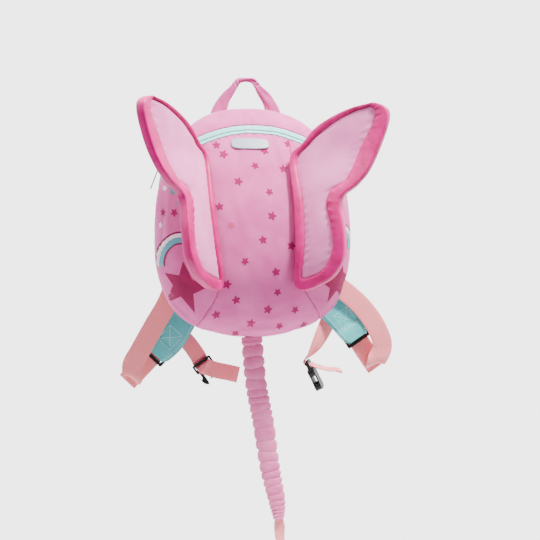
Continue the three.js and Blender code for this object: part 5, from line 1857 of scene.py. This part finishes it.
class Graph:
    """Shader graph of one material."""

    def __init__(self, name: str) -> None:
        """Starts an empty graph.

        Args:
            name: Name of the material.
        """
        self.material = bpy.data.materials.new(name)
        self.material.use_nodes = True
        self.tree = self.material.node_tree
        self.tree.nodes.clear()

    def node(self, kind: str, inputs: dict, output: int | str = 0, **settings: object) -> Socket:
        """Adds a node.

        Args:
            kind: Node type without its prefix.
            inputs: Values or sockets by input.
            output: The output wanted.
            settings: Properties of the node.

        Returns:
            That output.
        """
        made = self.tree.nodes.new(f"ShaderNode{kind}")
        for key, value in settings.items():
            setattr(made, key, value)
        for key, value in inputs.items():
            if isinstance(value, Socket):
                self.tree.links.new(value.output, made.inputs[key])
            else:
                made.inputs[key].default_value = value
        return Socket(self, made.outputs[output])

    def maths(self, operation: str, a: Socket | float, b: Socket | float = 0.0) -> Socket:
        """Arithmetic on two values.

        Args:
            operation: Name of the operation.
            a: First value.
            b: Second value.

        Returns:
            The result.
        """
        return self.node("Math", {0: a, 1: b}, operation=operation)

    def place(self, kind: str) -> Socket:
        """Coordinates.

        Args:
            kind: Object or UV.

        Returns:
            The coordinates.
        """
        return self.node("TexCoord", {}, kind)

    def part(self, vector: Socket, axis: int) -> Socket:
        """One component of a vector.

        Args:
            vector: The vector.
            axis: 0, 1 or 2.

        Returns:
            The component.
        """
        return self.node("SeparateXYZ", {0: vector}, axis)

    def noise(self, scale: float, detail: float = 2.0) -> Socket:
        """Noise in object space.

        Args:
            scale: Cycles in a metre.
            detail: Octaves.

        Returns:
            Value between 0 and 1.
        """
        return self.node("TexNoise", {"Vector": self.place("Object"), "Scale": scale, "Detail": detail})

    def blend(self, share: Socket, low: "Shade", high: "Shade") -> Socket:
        """Mix of two colours.

        Args:
            share: Share of the second.
            low: First colour.
            high: Second colour.

        Returns:
            The colour.
        """
        return self.node("Mix", {0: share, 6: low.linear(), 7: high.linear()}, 2, data_type="RGBA")

    def stretch(self, value: Socket, low: float, high: float) -> Socket:
        """Clamped share of a value between two limits.

        Args:
            value: The value.
            low: Limit that becomes 0.
            high: Limit that becomes 1.

        Returns:
            The share.
        """
        return self.node("MapRange", {0: value, 1: low, 2: high}, clamp=True)

    def finish(self, inputs: dict, height: Optional[Socket] = None, depth: float = 0.0004) -> bpy.types.Material:
        """Ends the graph in its surface.

        Args:
            inputs: Inputs of the surface.
            height: Height of its relief.
            depth: Depth of the relief in metres.

        Returns:
            The material.
        """
        if height is not None:
            inputs["Normal"] = self.node("Bump", {"Height": height, "Strength": 1.0, "Distance": depth})
        surface = self.node("BsdfPrincipled", inputs)
        end = self.tree.nodes.new("ShaderNodeOutputMaterial")
        self.tree.links.new(surface.output, end.inputs["Surface"])
        return self.material


@dataclass(frozen=True)
class Shade:
    """Colour as it is seen, 0 to 255.

    Attributes:
        red: Red.
        green: Green.
        blue: Blue.
    """

    red: float
    green: float
    blue: float

    def linear(self) -> tuple[float, float, float, float]:
        """Colour for shading.

        Returns:
            Linear red, green, blue and 1.
        """
        parts = []
        for value in (self.red, self.green, self.blue):
            share = value / 255
            parts.append(share / 12.92 if share <= 0.04045 else ((share + 0.055) / 1.055) ** 2.4)
        return (*parts, 1.0)


@dataclass(frozen=True)
class ClothFinish:
    """Woven cloth.

    Attributes:
        colour: Its colour.
        worn: Colour that it drifts to.
        roughness: Roughness.
        sheen: Weight of the fuzz.
        threads: Threads in a centimetre.
        weave: Depth of the weave in metres.
        crease: Depth of soft creases in metres.
        drift: Cycles of the colour drift in a metre.
    """

    colour: Shade
    worn: Shade
    roughness: float = 0.75
    sheen: float = 0.15
    threads: float = 14.0
    weave: float = 0.00008
    crease: float = 0.0005
    drift: float = 30.0

    def build(self, name: str) -> bpy.types.Material:
        """Makes the material.

        Args:
            name: Its name.

        Returns:
            The material.
        """
        graph = Graph(name)
        chart = graph.place("UV")
        across, along = graph.part(chart, 0), graph.part(chart, 1)
        turns = self.threads * 2 * math.pi
        weave = graph.maths("SINE", across * turns) * graph.maths("SINE", along * turns)
        soft = graph.noise(42.0, 3.0)
        fine = graph.noise(190.0, 2.0)
        height = soft * self.crease + fine * (self.crease * 0.16) + weave * self.weave
        share = graph.stretch(graph.noise(self.drift, 2.0) + weave * 0.05, 0.35, 0.7)
        rough = graph.noise(120.0) * 0.12 + (self.roughness - 0.06)
        return graph.finish({
            "Base Color": graph.blend(share, self.colour, self.worn), "Roughness": rough,
            "Sheen Weight": self.sheen, "Sheen Roughness": 0.5, "Specular IOR Level": 0.25,
        }, height * 1000.0, 0.001)


@dataclass(frozen=True)
class SatinFinish:
    """Satin with a soft directional gloss.

    Attributes:
        colour: Its colour.
        worn: Colour that it drifts to.
        roughness: Roughness.
    """

    colour: Shade
    worn: Shade
    roughness: float = 0.36

    def build(self, name: str) -> bpy.types.Material:
        """Makes the material.

        Args:
            name: Its name.

        Returns:
            The material.
        """
        graph = Graph(name)
        soft, fine = graph.noise(55.0, 3.0), graph.noise(260.0, 2.0)
        return graph.finish({
            "Base Color": graph.blend(graph.stretch(soft, 0.35, 0.7), self.colour, self.worn),
            "Roughness": fine * 0.1 + (self.roughness - 0.05), "Specular IOR Level": 0.35, "Anisotropic": 0.4,
        }, soft * 0.9 + fine * 0.12, 0.0009)


@dataclass(frozen=True)
class WebbingFinish:
    """Ribbed webbing, with painted shade in the grooves between its ribs.

    Attributes:
        colour: Its colour.
        groove: Darker colour between the ribs, painted shade in the grooves.
        ribs: Ribs in a centimetre.
        roughness: Roughness.
    """

    colour: Shade
    groove: Shade
    ribs: float = 5.0
    roughness: float = 0.62

    def build(self, name: str) -> bpy.types.Material:
        """Makes the material.

        Args:
            name: Its name.

        Returns:
            The material.
        """
        graph = Graph(name)
        chart = graph.place("UV")
        across, along = graph.part(chart, 0), graph.part(chart, 1)
        ribs = graph.maths("SINE", across * (self.ribs * 2 * math.pi) + along * 4.0) * 0.5 + 0.5
        picks = graph.maths("SINE", along * (11 * 2 * math.pi)) * 0.5 + 0.5
        # Painted shade: the colour darkens to the groove colour where the ribs and picks are low
        share = graph.stretch(ribs * 0.7 + picks * 0.3, 0.0, 0.6)
        return graph.finish({
            "Base Color": graph.blend(share, self.groove, self.colour),
            "Roughness": graph.noise(200.0) * 0.1 + (self.roughness - 0.05),
            "Sheen Weight": 0.12, "Specular IOR Level": 0.35,
        }, ribs * 0.8 + picks * 0.25, 0.00014)


@dataclass(frozen=True)
class HardFinish:
    """Moulded plastic or metal.

    Attributes:
        colour: Its colour.
        roughness: Roughness.
        metallic: 1 for metal.
        coat: Weight of the gloss.
        grain: Depth of the moulded grain in metres.
        gloss: Strength of the reflection.
    """

    colour: Shade
    roughness: float = 0.4
    metallic: float = 0.0
    coat: float = 0.0
    grain: float = 0.00003
    gloss: float = 0.5

    def build(self, name: str) -> bpy.types.Material:
        """Makes the material.

        Args:
            name: Its name.

        Returns:
            The material.
        """
        graph = Graph(name)
        wear, grain = graph.noise(70.0, 3.0), graph.noise(1500.0, 2.0)
        return graph.finish({
            "Base Color": self.colour.linear(), "Metallic": self.metallic, "Coat Weight": self.coat,
            "Roughness": wear * 0.14 + (self.roughness - 0.07), "Specular IOR Level": self.gloss,
        }, grain, self.grain)


class Shades:
    """All materials of the object and its stage."""

    def __init__(self) -> None:
        """Makes them."""
        body = ClothFinish(Shade(217, 98, 164), Shade(204, 80, 150), 0.85, 0.04, crease=0.0009)
        self.body = body.build("body_cloth")
        self.inks = [
            ClothFinish(Shade(164, 0, 94), Shade(148, 0, 82), 0.75, 0.0).build("print_pink"),
            ClothFinish(Shade(122, 4, 70), Shade(106, 2, 60), 0.7, 0.0).build("print_dark"),
            ClothFinish(Shade(240, 214, 228), Shade(232, 200, 220), 0.75, 0.1).build("print_white"),
            ClothFinish(Shade(92, 160, 176), Shade(80, 146, 164), 0.7, 0.0).build("print_teal"),
            ClothFinish(Shade(214, 66, 128), Shade(206, 56, 120), 0.7, 0.0).build("print_faded"),
            ClothFinish(Shade(150, 0, 80), Shade(134, 0, 68), 0.7, 0.0).build("print_deep"),
        ]
        self.printed = [self.body, *self.inks]
        self.rein = self.gathered()
        self.satin = SatinFinish(Shade(206, 0, 122), Shade(172, 0, 92), 0.42).build("satin")
        pale = ClothFinish(Shade(238, 132, 192), Shade(222, 112, 176), 0.75, 0.05, crease=0.0007)
        self.pale = pale.build("pale_cloth")
        teal = ClothFinish(Shade(92, 196, 192), Shade(74, 174, 172), 0.85, 0.05, crease=0.0012)
        self.teal = teal.build("teal_cloth")
        # The second colour of the zip tape is painted shade between its ribs
        self.zip_tape = WebbingFinish(Shade(150, 226, 220), Shade(124, 204, 198), 9.0).build("zip_tape")
        self.zip_coil = HardFinish(Shade(120, 208, 202), 0.35, grain=0.00001).build("zip_coil")
        # The second colour of the webbing is painted shade between its ribs
        self.webbing = WebbingFinish(Shade(234, 132, 138), Shade(226, 120, 128)).build("webbing")
        self.thread_pink = HardFinish(Shade(240, 110, 170), 0.6).build("thread_pink")
        self.thread_teal = HardFinish(Shade(170, 226, 224), 0.6).build("thread_teal")
        self.black = HardFinish(Shade(12, 13, 15), 0.5, gloss=0.3).build("black_plastic")
        self.grey = HardFinish(Shade(150, 164, 172), 0.3, coat=0.4).build("grey_plate")
        self.steel = HardFinish(Shade(170, 172, 176), 0.28, 1.0).build("steel")
        self.floor = HardFinish(Shade(222, 222, 222), 0.8, grain=0.00001).build("floor")

    def gathered(self) -> bpy.types.Material:
        """Cloth of the rein, whose print is broken up by the gathers.

        Returns:
            The material.
        """
        graph = Graph("gathered_cloth")
        share = graph.stretch(graph.noise(70.0), 0.35, 0.75)
        fine = graph.noise(300.0, 3.0)
        return graph.finish({
            "Base Color": graph.blend(share, Shade(216, 112, 160), Shade(204, 92, 146)),
            "Roughness": fine * 0.1 + 0.72, "Sheen Weight": 0.15, "Specular IOR Level": 0.25,
        }, fine, 0.0004)


# Hard pieces


@dataclass(frozen=True)
class HardPiece:
    """Moulded or metal piece that is shown as it is cut.

    Attributes:
        node: Its node.
        material: Its material.
        bevel: Width of the rounded edges in millimetres.
    """

    node: str
    material: bpy.types.Material
    bevel: float

    def build(self) -> None:
        """Gives it its material and rounded edges."""
        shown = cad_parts[self.node]
        shown.data.materials.clear()
        shown.data.materials.append(self.material)
        rounding = shown.modifiers.new("rounding", "BEVEL")
        rounding.width = self.bevel * MM
        rounding.segments = 3
        rounding.limit_method = "ANGLE"
        rounding.angle_limit = math.radians(35)


class Hardware:
    """Slider, pull, name plate, adjusters and buckle halves."""

    def __init__(self, shades: Shades) -> None:
        """Lists the pieces.

        Args:
            shades: All materials.
        """
        self.pieces = [
            HardPiece("zip_slider", shades.steel, 0.25), HardPiece("zip_pull", shades.steel, 0.2),
            HardPiece("name_plate", shades.grey, 0.5),
            HardPiece("ladder_lock_left", shades.black, 0.45), HardPiece("ladder_lock_right", shades.black, 0.45),
            HardPiece("buckle_male", shades.black, 0.4), HardPiece("buckle_female", shades.black, 0.4),
        ]

    def build(self) -> None:
        """Makes them all."""
        for piece in self.pieces:
            piece.build()


# Stage


@dataclass(frozen=True)
class StageSize:
    """Sizes of the stage, in metres.

    Attributes:
        floor_z: Height of the floor.
        floor_radius: Its radius.
        distance: Distance of the camera.
        lens: Focal length in millimetres.
        front_light: Strength of the surrounding light from the front.
        back_light: Strength of the backdrop.
        upward: How much height brightens the backdrop, beside the way back.
    """

    floor_z: float = -0.72
    floor_radius: float = 0.7
    distance: float = 1.53
    lens: float = 85.0
    front_light: float = 0.32
    back_light: float = 4.0
    upward: float = 0.9


class Stage:
    """Floor, lights and camera."""

    TARGET = (0.0201, -0.0598, -0.2334)
    VIEW = (-0.1668, -0.986, 0.0)
    LIT = (0, 0, -0.25)
    # Name, place, width, watts and colour of each lamp
    LAMPS = (("key_light", (0.6, -0.6, 1.25), 0.3, 96.0, (1.0, 0.98, 0.97)),
             ("fill_light", (-0.5, -0.9, 1.2), 0.6, 5.0, (0.97, 0.98, 1.0)))

    def __init__(self, size: StageSize, shades: Shades) -> None:
        """Keeps the sizes.

        Args:
            size: Sizes.
            shades: All materials.
        """
        self.size, self.shades = size, shades

    def light(self, name: str, place: Sequence[float], width: float, power: float, colour: Sequence[float]) -> None:
        """Adds a soft light that faces the object.

        Args:
            name: Its name.
            place: Its place.
            width: Its width.
            power: Its power in watts.
            colour: Its colour.
        """
        data = bpy.data.lights.new(name, "AREA")
        data.shape, data.size, data.energy, data.color = "DISK", width, power, colour
        lamp = bpy.data.objects.new(name, data)
        lamp.location = place
        lamp.rotation_euler = (Vector(self.LIT) - Vector(place)).to_track_quat("-Z", "Y").to_euler()
        bpy.context.scene.collection.objects.link(lamp)

    def build(self) -> None:
        """Makes the stage."""
        bm = new_mesh()
        bmesh.ops.create_circle(bm, cap_ends=True, segments=96, radius=self.size.floor_radius)
        bmesh.ops.translate(bm, verts=bm.verts, vec=(0, 0, self.size.floor_z))
        floor = finished_object("floor", bm, [self.shades.floor])
        world = bpy.data.worlds.new("studio")
        world.use_nodes = True
        nodes, links = world.node_tree.nodes, world.node_tree.links
        sky, way = nodes["Background"], nodes.new("ShaderNodeTexCoord")
        parts, share = nodes.new("ShaderNodeSeparateXYZ"), nodes.new("ShaderNodeMapRange")
        for value, place in ((-0.4, 1), (0.7, 2), (self.size.front_light, 3), (self.size.back_light, 4)):
            share.inputs[place].default_value = value
        share.interpolation_type = "SMOOTHSTEP"
        links.new(way.outputs["Generated"], parts.inputs[0])
        lifted = nodes.new("ShaderNodeMath")
        lifted.operation = "MULTIPLY_ADD"
        lifted.inputs[1].default_value = self.size.upward
        links.new(parts.outputs["Z"], lifted.inputs[0])
        links.new(parts.outputs["Y"], lifted.inputs[2])
        links.new(lifted.outputs[0], share.inputs[0])
        links.new(share.outputs[0], sky.inputs["Strength"])
        sky.inputs["Color"].default_value = (1.0, 0.995, 1.0, 1.0)
        bpy.context.scene.world = world
        for lamp in self.LAMPS:
            self.light(*lamp)
        data = bpy.data.cameras.new("camera")
        data.lens, data.sensor_width, data.clip_end = self.size.lens, 36.0, 20.0
        camera = bpy.data.objects.new("camera", data)
        target, view = Vector(self.TARGET), Vector(self.VIEW).normalized()
        camera.location = target + view * self.size.distance
        camera.rotation_euler = (-view).to_track_quat("-Z", "Y").to_euler()
        bpy.context.scene.collection.objects.link(camera)
        bpy.context.scene.camera = camera


# Assembly


def main() -> None:
    """Builds the object and its stage in order."""
    logging.basicConfig(level=logging.INFO)
    shades = Shades()
    LOG.info("materials made")
    Bag(shades).build()
    LOG.info("bag made")
    for hand, place in WING_PLACES.items():
        Wing(WingSize(), place).build(hand, shades.satin, shades.pale)
    LOG.info("wings made")
    for hand in ("left", "right"):
        ShoulderStrap(hand, ROUTES[hand], shades).build()
        ChestStrap(hand, CHEST_ROUTES[hand], shades).build()
    LOG.info("straps made")
    rein = Rein(shades)
    rein.sleeve()
    rein.webbing()
    LOG.info("rein made")
    Hardware(shades).build()
    Stage(StageSize(), shades).build()
    LOG.info("done")


if __name__ == "__main__":
    main()
